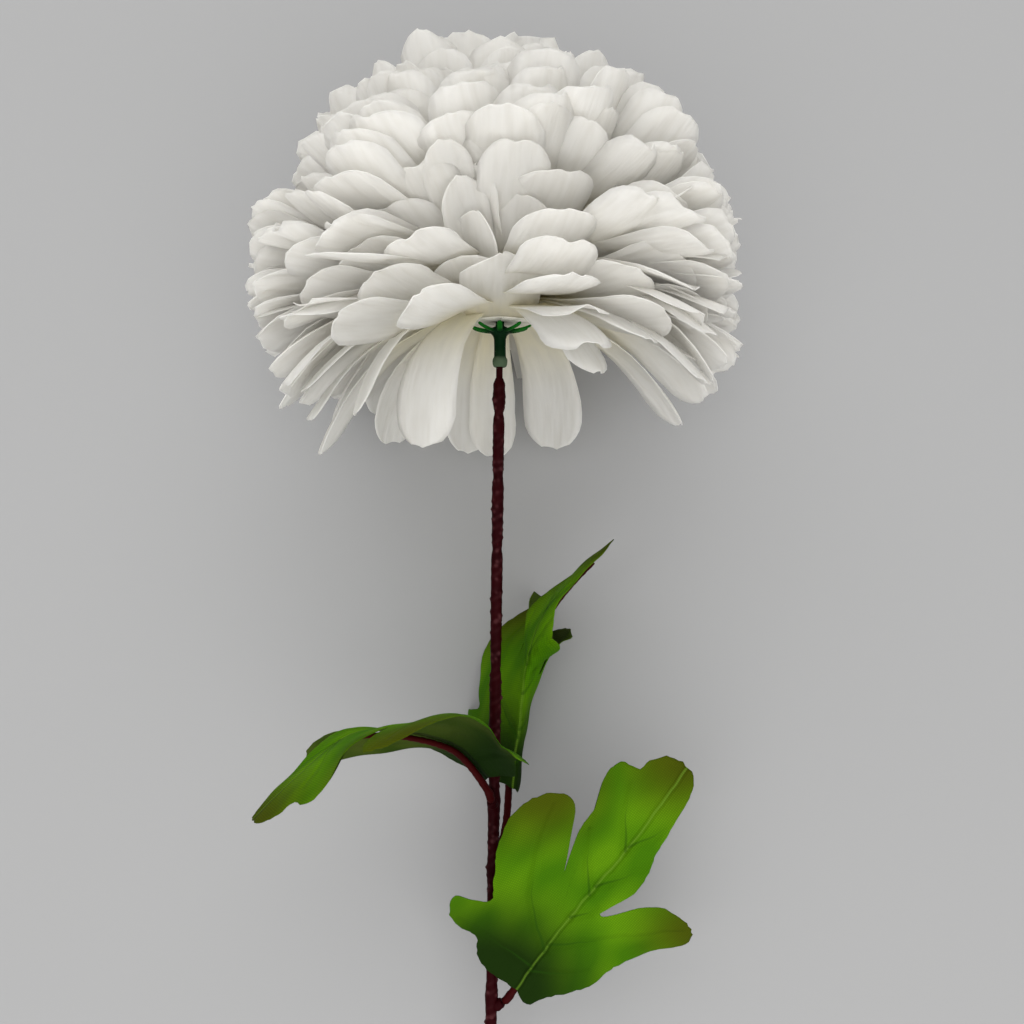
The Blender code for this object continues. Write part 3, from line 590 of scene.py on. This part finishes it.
def rest_on_table(grid, level):
    """Station by station, keeps each step's length but turns it flat where it would pass below
    the petal's own level on the table."""
    out = grid.copy()
    for i in range(1, grid.shape[1]):
        step = grid[:, i] - grid[:, i - 1]
        moved = out[:, i - 1] + step
        away = out[:, i - 1, :, :2] - (0.0, 0.015)
        away /= np.linalg.norm(away, axis=-1, keepdims=True)
        flat = step[..., :2] + 0.5 * np.linalg.norm(step, axis=-1, keepdims=True) * away
        flat /= np.linalg.norm(flat, axis=-1, keepdims=True)
        drop = level[:, None] - out[:, i - 1, :, 2]
        run = np.sqrt(np.maximum((step**2).sum(axis=-1) - drop**2, 0))
        laid = np.concatenate([out[:, i - 1, :, :2] + flat * run[..., None],
                               np.broadcast_to(level[:, None, None], (*run.shape, 1))], axis=-1)
        out[:, i] = np.where(moved[..., 2:] < level[:, None, None], laid, moved)
    return out


def petal_faces_out(grid, thickness):
    """Upper and lower points: half the thickness along the cross product of the two directions."""
    normal = np.cross(np.gradient(grid, axis=1), np.gradient(grid, axis=2))
    normal /= np.linalg.norm(normal, axis=-1, keepdims=True)
    half = normal * thickness / 2
    return np.concatenate([(grid + half).reshape(len(grid), -1, 3), (grid - half).reshape(len(grid), -1, 3)], axis=1)


def loose(found, soft=1.0, **row):
    """A petal with the small seeded differences of cloth added to the values of its row."""
    row = {"base": PETAL_BASE, "sway": 0.0, "twist": 0.0, "point": 0.0, **row}
    found.append({**row, "wave": soft * rng.uniform(-1.6, 1.6), "ruffle": soft * rng.uniform(-2.2, 2.2),
                  "curl": soft * rng.uniform(-1.0, 2.0), "phase": rng.uniform(0, 6.28)})


def skirt_petals():
    found = []
    for angle, end_r, end_y, arch, width in SKIRT:
        loose(found, root_r=9.0, root_y=6.0, end_r=end_r, end_y=end_y, arch=arch / 2, width=width,
              hollow=0.16, twist=rng.uniform(-0.15, 0.15), sway=rng.uniform(-2, 2), angle=np.radians(angle))
    return found


def front_petals():
    found = []
    for angle, r0, y0, r1, y1, arch, width, hollow, twist, base, point in FRONT:
        loose(found, root_r=r0, root_y=y0, end_r=r1, end_y=y1, arch=arch, width=width, hollow=hollow,
              twist=twist, base=base, point=point, angle=np.radians(angle))
    return found


def layer_petals(first, last):
    """Layers spread evenly round the stem, then drawn together into clumps: the angle shifts by
    the sine, and the reach falls by the cosine, of so many waves a turn. The lowest layers leave
    room in front, over the cup."""
    found = []
    table = np.array(LAYERS, float)
    for k in np.linspace(0, len(LAYERS) - 1, LAYER_ROWS)[first:last]:
        count, r0, y0, r1, y1, arch, width, hollow = (np.interp(k, range(len(LAYERS)), c) for c in table.T)
        count = int(round(count * np.interp(k, (1, 3, 11, 14), (1.1, 1.3, 1.3, 1.1))))
        start = 360 * rng.uniform()
        for j in range(count):
            angle = start + (j + rng.uniform(-0.25, 0.25)) * 360 / count
            from_front = (angle - 90 + 180) % 360 - 180
            if abs(from_front) < np.interp(k, (0, 5, 8.5, 10.5), (50, 38, 26, 0)):
                continue
            if k < 2.5 and 195 < from_front % 360 < 250:
                continue
            angle = np.radians(angle)
            aside = np.sin(CLUMPS * (angle - CLUMP_AT))
            crease = (0.5 - 0.5 * np.cos(CLUMPS * (angle - CLUMP_AT)))**2
            lump = 2.5 * np.sin(0.9 * k + 3 * angle)
            bend = 0.9 if abs(from_front) > 60 else 0.45
            loose(found, 1.0 + 0.06 * k, root_r=r0, root_y=y0,
                  end_r=min(r1 + lump - 4 * crease + rng.uniform(-5, 2), 97.0), end_y=y1 + rng.uniform(-5, 5),
                  arch=arch + rng.uniform(-3, 3), width=0.9 * width + rng.uniform(-4, 4),
                  hollow=hollow + rng.uniform(-0.10, 0.12), point=rng.uniform(-0.15, 0.3),
                  twist=float(np.clip(rng.normal(0.2 * aside + 0.2 * np.cos(angle), 0.34), -bend, bend)), sway=rng.uniform(-5, 5),
                  angle=angle - 0.08 * aside)
    return found


def make_petals(name, petals, stations, columns):
    grid, cloth, u = petal_grids(petals, np.array(stations), np.linspace(-1, 1, columns))
    level = np.array([(0.4, 1.2, 2.0)[k % 3] for k in range(len(petals))]) / 1000
    grid = rest_on_table(lay_down(grid), level)
    points = petal_faces_out(grid, PETAL_THICKNESS / 1000)
    points[..., 2] = np.maximum(points[..., 2], 0.0001)
    quads = blade_quads(len(stations), columns)
    count = points.shape[1]
    every = (quads[None] + np.arange(len(petals))[:, None, None] * count).reshape(-1, 4)
    face = np.arange(len(quads)) < 2 * (len(stations) - 1) * (columns - 1)
    if turned_out(points[0], quads) is not quads:
        every = every[:, ::-1]
    twice = np.concatenate([cloth.reshape(len(petals), -1, 3)] * 2, axis=1)
    # The root mark says where the petal cloth is painted cream as the warm shade deep in the bloom.
    root = 1 - soft_step(0.15, 0.72, np.concatenate([u.reshape(len(petals), -1)] * 2, axis=1))
    marks = {"cloth": twice.reshape(-1, 3), "root": root.ravel()}
    return make_piece(name, points.reshape(-1, 3), every, petal_cloth, "bloom", marks,
                      np.tile(face, len(petals)))


def revolve(profile, sides, centre=None, swell=None):
    """Points of a surface of revolution on a grid of profile points by sides; swell(height, angle)
    adds to the radius. The first and last profile points lie on the axis."""
    profile = np.asarray(profile, float)
    turn = np.arange(sides) / sides * 2 * np.pi
    radius, height = profile[:, :1], profile[:, 1:]
    if swell is not None:
        radius = np.where(radius > 1e-6, radius + swell(height, turn[None]), radius)
    middle = centre(height) if centre else 0.0
    return np.stack([middle + radius * np.cos(turn), np.broadcast_to(height, (len(profile), sides)),
                     radius * np.sin(turn)], axis=-1)


def closed_revolve(name, grid, material, node, marks=None):
    points = lay_down(grid).reshape(-1, 3)
    quads = loop_quads(*grid.shape[:2])
    piece = make_piece(name, points, turned_out(points, quads), material, node, marks)
    return piece


def make_heart():
    """Core that the roots crowd on: a pear-shaped turning with drawn folds, and the pin's hole."""
    outline = ((13.0, 1.2), (21.0, 7.0), (29.0, 20.0), (33.0, 36.0), (29.0, 54.0), (18.0, 67.0), (0.01, 71.0))
    skin = smooth_line(outline, 40)
    skin[:, 0] *= np.interp(skin[:, 1], (1, 8, 71), (1.0, 0.72, 0.72))
    hole = ((0.0, PIN_TOP + 1.0), (PIN_HOLE_RADIUS, PIN_TOP + 1.0), (PIN_HOLE_RADIUS, 1.25))
    profile = np.vstack([hole, skin[:-1], (0.0, 70.5)])

    def folds(height, turn):
        return np.where(height > 3, 1.1 * np.sin(23 * turn + height / 9) * soft_step(3, 12, height), 0.0)

    grid = revolve(profile, 96, swell=folds)
    turn = np.arange(96) / 96 * 2 * np.pi
    cloth = np.stack([np.broadcast_to(turn * 28, grid.shape[:2]), grid[..., 1], np.zeros(grid.shape[:2])], axis=-1)
    return closed_revolve("bloom_heart", grid, heart_cloth, "bloom", {"cloth": cloth.reshape(-1, 3)})


FEW_STATIONS = (0.0, 0.32, 0.6, 0.8, 0.895, 0.95, 0.985, 1.0)
MANY_STATIONS = (0.0, 0.12, 0.24, 0.35, 0.46, 0.56, 0.66, 0.75, 0.82, 0.88, 0.925, 0.958, 0.981, 0.994, 1.0)
make_petals("petals_skirt", skirt_petals(), MANY_STATIONS, 9)
make_petals("petals_front", front_petals(), MANY_STATIONS, 9)
make_petals("petals_lower", layer_petals(0, 7), FEW_STATIONS, 5)
make_petals("petals_middle", layer_petals(7, 14), FEW_STATIONS, 5)
make_petals("petals_crown", layer_petals(14, LAYER_ROWS), FEW_STATIONS, 5)
make_heart()


# Calyx

def bar(path, widths, depths, sides=10):
    """Oval bar along a path: at each point a ring of width and depth across the path; the end
    rings close on the path itself."""
    path = np.asarray(path, float)
    ahead = np.gradient(path, axis=0)
    ahead /= np.linalg.norm(ahead, axis=1, keepdims=True)
    side = np.cross(ahead, (0.0, 1.0, 0.0))
    side /= np.linalg.norm(side, axis=1, keepdims=True)
    up = np.cross(side, ahead)
    turn = np.arange(sides) / sides * 2 * np.pi
    ring = (np.cos(turn)[:, None] * side[:, None] * np.asarray(widths)[:, None, None]
            + np.sin(turn)[:, None] * up[:, None] * np.asarray(depths)[:, None, None])
    return path[:, None] + ring


def make_calyx():
    """Pin, hub, socket tube with its rolled bead, and the shallow cup of spokes round the hub."""
    profile = [(0, PIN_TOP), (1.2, PIN_TOP), (1.6, PIN_TOP - 0.6), (1.6, 0.2), (1.9, -0.5), (3.4, -1.1), (4.3, -1.6),
               (4.3, -2.2), (3.6, -3.2), (2.7, -4.2), (2.35, -5.4), (2.25, -8.6), (2.3, -12.0), (2.45, -12.6),
               (2.8, -13.1), (2.95, -14.0), (2.85, -15.2), (2.5, -16.1), (2.0, -16.4), (1.7, -16.3),
               (1.65, -15.8), (1.65, -6.6), (0, -6.6)]
    grid = revolve(profile, 40)
    # The bead mark places the painted highlight on the rolled bead.
    bead = soft_step(11.8, 13.2, -grid[..., 1])
    closed_revolve("calyx_hub", grid, calyx_plastic, "calyx", {"bead": bead.ravel()})
    radial = np.array([2.4, 4.5, 6.5, 8.5, 10.3, 11.7, CALYX_RADIUS - 0.2, CALYX_RADIUS])
    height = np.array([-2.3, -2.25, -2.0, -1.6, -1.1, -0.55, -0.2, -0.15])
    width = np.array([1.25, 1.15, 1.1, 1.1, 1.05, 0.95, 0.55, 0.0])
    depth = np.array([0.75, 0.65, 0.6, 0.55, 0.5, 0.45, 0.3, 0.0])
    points, quads, bright = [], [], []
    for k in range(SPOKES):
        angle = (k + 0.25) / SPOKES * 2 * np.pi
        path = np.stack([radial * np.cos(angle), height, radial * np.sin(angle)], axis=-1)
        grid = bar(path, width, depth)
        grid = np.concatenate([path[:1, None] + 0 * grid[:1], grid])
        placed = lay_down(grid).reshape(-1, 3)
        faces = turned_out(placed, loop_quads(*grid.shape[:2]))
        quads.append(faces + sum(len(p) for p in points))
        points.append(placed)
        # The spoke mark grows towards the tips, where the spokes are painted brighter green as light.
        bright.append(soft_step(4, 9, np.hypot(grid[..., 0], grid[..., 2])).ravel())
    make_piece("calyx_spokes", np.concatenate(points), np.concatenate(quads), calyx_plastic, "calyx",
               {"spoke_light": np.concatenate(bright)})


make_calyx()


# Stem

STEM_PROFILE = (
    (-7.0, 1.25), (-20.5, 1.3), (-22.5, 2.3), (-30.0, 2.5), (-34.0, 1.7), (-38.0, 2.3), (-56.0, 2.1),
    (-59.0, 1.8), (-63.0, 2.35), (-84.0, 2.1), (-87.0, 1.8), (-91.0, 2.3), (-130.0, 2.1),
    (-134.0, 1.8), (-138.0, 2.3), (-176.0, 2.2), (-181.0, 2.0), (-185.0, 2.7), (-192.0, 2.3),
    (-207.0, 2.2), (-212.0, 2.6), (-218.0, 2.2), (-256.0, 2.1), (-262.0, 2.6), (-268.0, 2.2),
    (-310.0, 2.1), (-314.0, 1.8), (-318.0, 2.3), (-360.0, 2.1), (-364.0, 1.8), (-368.0, 2.3),
    (-400.0, STEM_END_RADIUS),
)
LEAF_JOINTS = {
    "front": (-267, (0.9, -263.9, 0.8)),
    "left": (-188, (-3.2, -185.0, 3.2)),
    "back": (-216, (-0.9, -211.0, -3.4)),
}


def make_stem():
    """Sheath of revolution about the leaning axis: the radius follows joints and waists, with rows
    of round prickles, each a small bell on the skin, and shallow uneven rings."""
    heights = np.concatenate([[-7.0, -7.4], np.linspace(-9, -20.5, 12), np.linspace(-21, -399.4, 760), [-399.8, -400.0]])
    table = np.array(STEM_PROFILE)[::-1]
    radii = np.interp(heights, table[:, 0], table[:, 1])
    kernel = np.array([1, 3, 5, 3, 1]) / 13
    radii[14:-2] = np.convolve(np.pad(radii[14:-2], 2, mode="edge"), kernel, mode="valid")
    radii[0] = 0.9
    radii[-1] = STEM_END_RADIUS * 0.93
    radii[-2] = STEM_END_RADIUS * 0.99
    sides = 30
    count = 430
    at = rng.uniform(-396, -24, count)
    turned = np.round(rng.uniform(0, 8, count)) / 8 * 2 * np.pi + rng.uniform(-0.2, 0.2, count)
    size = rng.uniform(0.16, 0.42, count)

    def skin(height, turn):
        total = 0.07 * np.sin(height * 1.7 + 2 * turn) * np.sin(height * 0.31)
        for y, angle, high in zip(at, turned, size):
            near = np.abs(height[:, 0] - y) < 2.4
            gap = (turn - angle + np.pi) % (2 * np.pi) - np.pi
            total[near] += high * np.exp(-((height[near] - y) / 0.62)**2 - (gap / 0.30)**2)
        # The prickle mark also places the painted highlight of the stem plastic.
        prickles[:] = np.clip(total / 0.3, 0, 1)
        smooth_ends = soft_step(0, 6, height + 399.8) * soft_step(20.5, 23, -height)
        return total * smooth_ends

    prickles = np.zeros((len(radii) + 6, sides))
    bore = 1.2
    profile = np.column_stack([radii, heights])
    profile = np.vstack([(0.0, -7.0), profile, (bore, -400.0), (bore, -396.0), (bore, -30.0), (bore, -24.0), (0.0, -24.0)])
    outer = np.zeros(len(profile), bool)
    outer[1:-5] = True
    grid_swell = lambda height, turn: np.where(outer[:, None], skin(height, turn), 0.0)
    grid = revolve(profile, sides, centre=lambda height: STEM_LEAN * height, swell=grid_swell)
    closed_revolve("stem_sheath", grid, stem_plastic, "stem", {"prickle_highlight": prickles.ravel()})
    for name, (joint, end) in LEAF_JOINTS.items():
        start = np.array([STEM_LEAN * joint, joint, 0.0])
        run = np.linspace(0.25, 1.0, 9)[:, None]
        path = start + (np.array(end) - start) * run
        path = np.vstack([path, path[-1]])
        width = np.array([1.0, 2.0, 2.25, 2.3, 2.2, 2.05, 2.1, 2.0, 1.75, 0.0])
        grid = bar(np.vstack([path[:-1], path[-2] + 1e-3 * (path[-2] - path[-3])]), width, width, 20)
        grid = np.concatenate([grid[:1] * 0 + path[:1, None], grid])
        placed = lay_down(grid).reshape(-1, 3)
        make_piece("stub_" + name, placed, turned_out(placed, loop_quads(*grid.shape[:2])), stem_plastic, "stem")


make_stem()
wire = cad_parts["stem_wire"]
for place in wire.material_slots:
    place.material = wire_steel


# Leaves

# Edge of a leaf, laid flat: distance along the rib from its base, distance to the right of it
LEAF_EDGE = (
    (110, -1), (107, 4.5), (101, 7), (92, 7.8), (84, 8.8), (77, 9.5), (68, 12), (60, 12.5),
    (50, 9.3), (44, 7.5), (45.5, 10), (51, 14), (58, 18.5), (62.5, 25), (62.5, 34), (59, 40),
    (53, 41.5), (47, 38.5), (42, 33.5), (34, 29.5), (27, 26), (19, 23.5), (13, 20), (8, 15),
    (3, 10.5), (-3, 6), (-1, 0), (0.5, -6), (1, -14), (5, -22), (12.5, -27), (14, -35.5),
    (18, -43.2), (25.5, -46), (26.5, -38.5), (28, -31), (32, -32.5), (38.5, -36.3), (47, -42), (55, -45),
    (62, -45.3), (68, -43.3), (72.8, -39), (75.2, -33), (73, -27), (63.5, -21.3), (49, -13.5), (57, -16.5),
    (66, -19.5), (74, -20.5), (80.5, -21), (86.5, -24.5), (92, -25), (97, -22), (98, -15),
    (103, -13.5), (108.5, -8),
)
LOBE_ENDS = ((114, -6), (62, 44), (75, -42))

LEAVES = {
    "front": {
        "rib": ((6.6, -257, 5), (22, -234, 9), (40, -211, 13), (57, -189, 15), (72, -169, 13)),
        "face": ((0.1, 0, 1), (0, 0, 1), (0, 0, 1), (0, 0.05, 1), (0.05, 0.25, 1)),
        "right": (0.16, -0.006),
        "left": (0.10, 0.004),
        "fold_ends": (90, 110),
        "under": (0.0, -1.0),
        "gap": 0.5,
        "stalk": (),
    },
    "left": {
        "rib": ((-5, -175, 5.5), (-17, -161, 14), (-36, -153, 28), (-53, -152.5, 38), (-69, -164, 48),
                (-83, -177, 55)),
        "face": ((0.4, 0.85, -0.3), (-0.1, 1, -0.3), (0, 1, -0.1), (-0.15, 1, 0.12),
                 (-0.55, 0.82, 0.2), (-0.6, 0.8, 0.15)),
        "right": (-0.06, -0.004),
        "left": (0.30, -0.007),
        "fold_ends": (60, 90),
        "under": (0.0, -1.0),
        "gap": 0.7,
        "stalk": ((-4.4, -181.0, 5.2),),
    },
    "back": {
        "rib": ((5, -181, -5), (7.5, -158, -8), (10.5, -134, -9), (17, -114, -8),
                (30, -97, -4), (44, -84, 2)),
        "face": ((-0.35, 0.05, 0.9), (-0.45, 0, 0.88), (-0.85, 0.1, 0.5), (-0.98, 0.2, 0.02),
                 (-0.92, 0.4, -0.05), (-0.88, 0.45, -0.05)),
        "right": (-1.8, -0.006),
        "left": (-0.42, -0.007),
        "fold_ends": (44, 52),
        "under": (-0.70, -0.71),
        "gap": 2.3,
        "stalk": ((0.8, -204, -7.5), (2.6, -195, -10.0)),
    },
}


def rib_at(leaf, s):
    """Point, direction, right-hand side and upper face of the leaf at distances along its rib."""
    rib = smooth_line(np.hstack([leaf["rib"], leaf["face"]]), 200)
    run = np.concatenate([[0], np.cumsum(np.linalg.norm(np.diff(rib[:, :3], axis=0), axis=1))])
    ahead = np.gradient(rib[:, :3], axis=0)
    ahead /= np.linalg.norm(ahead, axis=1, keepdims=True)
    held = np.clip(s, 0, run[-1])
    point = np.stack([np.interp(held, run, rib[:, i]) for i in range(3)], axis=-1)
    face = np.stack([np.interp(held, run, rib[:, i]) for i in range(3, 6)], axis=-1)
    along = np.stack([np.interp(held, run, ahead[:, i]) for i in range(3)], axis=-1)
    along /= np.linalg.norm(along, axis=-1, keepdims=True)
    point = point + along * (s - held)[..., None]
    face = face - along * (face * along).sum(axis=-1, keepdims=True)
    face /= np.linalg.norm(face, axis=-1, keepdims=True)
    return point, along, np.cross(along, face), face


def bend_leaf(leaf, s, t):
    """The flat leaf carried onto its bent rib: each half folded about the rib, curled with the
    distance from it, waved along the edge, and puffed between the veins."""
    far = np.abs(t)
    side_vein = s - LOBE_SWEEP * far
    point = rib_at(leaf, s)[0]
    _, _, right, face = rib_at(leaf, side_vein)
    first, last = leaf["fold_ends"]
    kept = 1 - 0.95 * np.clip((side_vein - first) / (last - first), 0, 1)
    fold = kept * np.where(t > 0, leaf["right"][0], leaf["left"][0])
    curl = np.where(t > 0, leaf["right"][1], leaf["left"][1])
    angle = (fold + curl * far) * far / (far + 1.2)
    wave = 1.6 * np.sin(s / 9.0 + np.sign(t)) * (far / 40)
    relief = 0.45 * np.sin(s / 4.3 + t / 7) * np.sin(t / 4.9 - s / 11) * soft_step(1.5, 8, far)
    lift = far * np.sin(angle) + wave
    return (point + right * (t * np.cos(angle))[..., None] + face * lift[..., None]), relief


def make_leaf(name, leaf, seed):
    """Grid of rings about a point on the rib by steps round the edge: each ring is the edge drawn
    in towards that point; the edge itself is cut a little ragged."""
    steps, shares = 260, np.concatenate([[0.0], np.linspace(0.04, 0.92, 23), [0.96, 0.985, 1.0]])
    edge = smooth_line(LEAF_EDGE, steps, closed=True)
    ragged = np.random.default_rng(seed).uniform(-0.5, 0.35, steps)
    ragged = ragged + 0.55 * np.abs(np.sin(np.arange(steps) / steps * 2 * np.pi * 17)) - 0.3
    heart = np.array(LEAF_HEART)
    out = edge - heart
    out = out * (1 + ragged / np.linalg.norm(out, axis=1))[:, None]
    flat = heart + shares[:, None, None] * out[None]
    s, t = flat[..., 0], flat[..., 1]
    middle, relief = bend_leaf(leaf, s, t)
    e = 0.4
    ahead = bend_leaf(leaf, s + e, t)[0] - bend_leaf(leaf, s - e, t)[0]
    beside = bend_leaf(leaf, s, t + e)[0] - bend_leaf(leaf, s, t - e)[0]
    normal = np.cross(beside, ahead)
    normal /= np.linalg.norm(normal, axis=-1, keepdims=True)
    middle = middle + normal * relief[..., None]
    rounded = LEAF_THICKNESS / 2 * np.sqrt(np.clip(1 - (shares[:, None, None] * 0.995)**40, 0, 1))
    upper, lower = middle + normal * rounded, middle - normal * rounded
    grid = np.concatenate([upper, lower[::-1]])
    points = lay_down(grid).reshape(-1, 3)
    points[:, 2] = np.maximum(points[:, 2], 0.0002)
    quads = turned_out(points, loop_quads(*grid.shape[:2]))
    both = np.concatenate([flat, flat[::-1]])
    s, t = both[..., 0], both[..., 1]
    ends = np.zeros(s.shape)
    for a, b in LOBE_ENDS:
        ends = np.maximum(ends, 1 - soft_step(6, 36, np.hypot(s - a, t - b)))
    # The under mark picks the underside, which the leaf cloth paints darker, partly as painted shade.
    marks = {
        "cloth": np.stack([t, s, np.full(s.shape, float(seed))], axis=-1).reshape(-1, 3),
        "base": (1 - soft_step(13, 50, np.hypot(s + 3, (t + 9) * 0.8))).ravel(),
        "lobe_end": (0.85 * ends).ravel(),
        "under": np.concatenate([np.zeros(len(s) // 2), np.ones(len(s) // 2)])[:, None].repeat(steps, 1).ravel(),
    }
    return make_piece("leaf_cloth_" + name, points, quads, leaf_cloth, "leaf_" + name, marks)


def make_stalk(name, leaf):
    """Round bar from the stub to the leaf, then under the rib, thinning to a fine point, with
    small swellings along it."""
    joint, end = LEAF_JOINTS[name]
    start = np.array([STEM_LEAN * joint, joint, 0.0])
    end = np.array(end)
    ahead = (end - start) / np.linalg.norm(end - start)
    s = np.linspace(3, 98, 12)
    radius = np.interp(s, (0, 98), (1.5, 0.6))
    point, _, right, face = rib_at(leaf, s)
    below = leaf["under"][0] * right + leaf["under"][1] * face
    under = point + below * (radius + 0.4 + leaf["gap"])[:, None]
    knots = np.vstack([end + 0.5 * ahead, end + 2.5 * ahead, *leaf["stalk"], under])
    path = smooth_line(knots, 160)
    run = np.concatenate([[0], np.cumsum(np.linalg.norm(np.diff(path, axis=0), axis=1))])
    size = np.interp(run, (0, 3, 5, run[-1] - 96, run[-1]), (1.55, 1.75, 1.5, 1.45, 0.55))
    size = size + 0.10 * np.sin(run * 1.9) * np.sin(run * 0.47)
    size[0], size[1], size[-1], size[-2] = 0.0, 1.3, 0.0, 0.4
    path[1] = path[0] + 1e-3 * (path[1] - path[0])
    path[-2] = path[-1] - 1e-2 * (path[-1] - path[-2])
    grid = bar(path, size, size, 16)
    points = lay_down(grid).reshape(-1, 3)
    quads = turned_out(points, loop_quads(*grid.shape[:2]))
    return make_piece("stalk_bar_" + name, points, quads, stalk_plastic, "stalk_" + name)


for number, (leaf_name, leaf_shape) in enumerate(LEAVES.items()):
    make_leaf(leaf_name, leaf_shape, number + 3)
    make_stalk(leaf_name, leaf_shape)


# Floor, light and camera

def make_floor():
    """Plain pale floor, a wide sheet under the flower."""
    x, y = np.meshgrid(np.linspace(-6, 6, 3), np.linspace(-6, 6, 3), indexing="ij")
    index = np.arange(9).reshape(3, 3)
    quads = np.stack([index[:-1, :-1], index[1:, :-1], index[1:, 1:], index[:-1, 1:]], -1).reshape(-1, 4)
    mesh = bpy.data.meshes.new("floor")
    mesh.from_pydata(np.stack([x, y, 0 * x], -1).reshape(-1, 3).tolist(), [], quads.tolist())
    material, tree, out = new_material("pale_floor")
    where = add(tree, "ShaderNodeTexCoord").outputs["Object"]
    cloud = add(tree, "ShaderNodeTexNoise", None, Vector=where, Scale=1.2, Detail=2.0).outputs["Fac"]
    colour = blend_colour(tree, cloud, (0.335, 0.337, 0.34, 1), (0.363, 0.363, 0.368, 1))
    shader = add(tree, "ShaderNodeBsdfPrincipled", None, Base_Color=colour, Roughness=0.9)
    tree.links.new(shader.outputs[0], out.inputs["Surface"])
    mesh.materials.append(material)
    floor = bpy.data.objects.new("floor", mesh)
    bpy.context.scene.collection.objects.link(floor)


def aim(direction):
    """Rotation that looks along a direction given in the flower's own frame."""
    c, s = np.cos(LIE_TILT), np.sin(LIE_TILT)
    turn = np.array([[1, 0, 0], [0, c, -s], [0, s, c]])
    back = -turn @ (np.asarray(direction, float) / np.linalg.norm(direction))
    up = turn @ np.array([0.0, 1.0, 0.0])
    right = np.cross(up, back)
    right /= np.linalg.norm(right)
    return Matrix(np.column_stack([right, np.cross(back, right), back]).tolist()).to_4x4()


def place(obj, at, direction):
    bpy.context.scene.collection.objects.link(obj)
    obj.matrix_world = Matrix.Translation(lay_down(np.array(at, float)).tolist()) @ aim(direction)


def add_light(name, at, towards, size, power, colour=(1, 1, 1)):
    light = bpy.data.lights.new(name, "AREA")
    light.shape = "DISK"
    light.size = size
    light.energy = power
    light.color = colour
    place(bpy.data.objects.new(name, light), at, np.array(towards, float) - np.array(at, float))


make_floor()
camera = bpy.data.cameras.new("camera")
camera.lens = 40.5
camera.sensor_width = 36.0
camera.clip_start = 0.01
camera_object = bpy.data.objects.new("camera", camera)
place(camera_object, (4.7, -72.9, 450.0), (0, 0, -1))
bpy.context.scene.camera = camera_object

add_light("top_softbox", (-100, 1100, 550), (0, 0, 0), 2.2, 12.4, (1.0, 0.995, 0.985))
add_light("front_softbox", (0, -450, 950), (0, 0, 0), 1.6, 9.2, (1.0, 0.995, 0.985))

world = bpy.data.worlds.new("studio")
bpy.context.scene.world = world
world.use_nodes = True
world.node_tree.nodes["Background"].inputs["Color"].default_value = (1.0, 0.995, 0.985, 1)
world.node_tree.nodes["Background"].inputs["Strength"].default_value = 0.69
bpy.context.scene.view_settings.view_transform = "Standard"
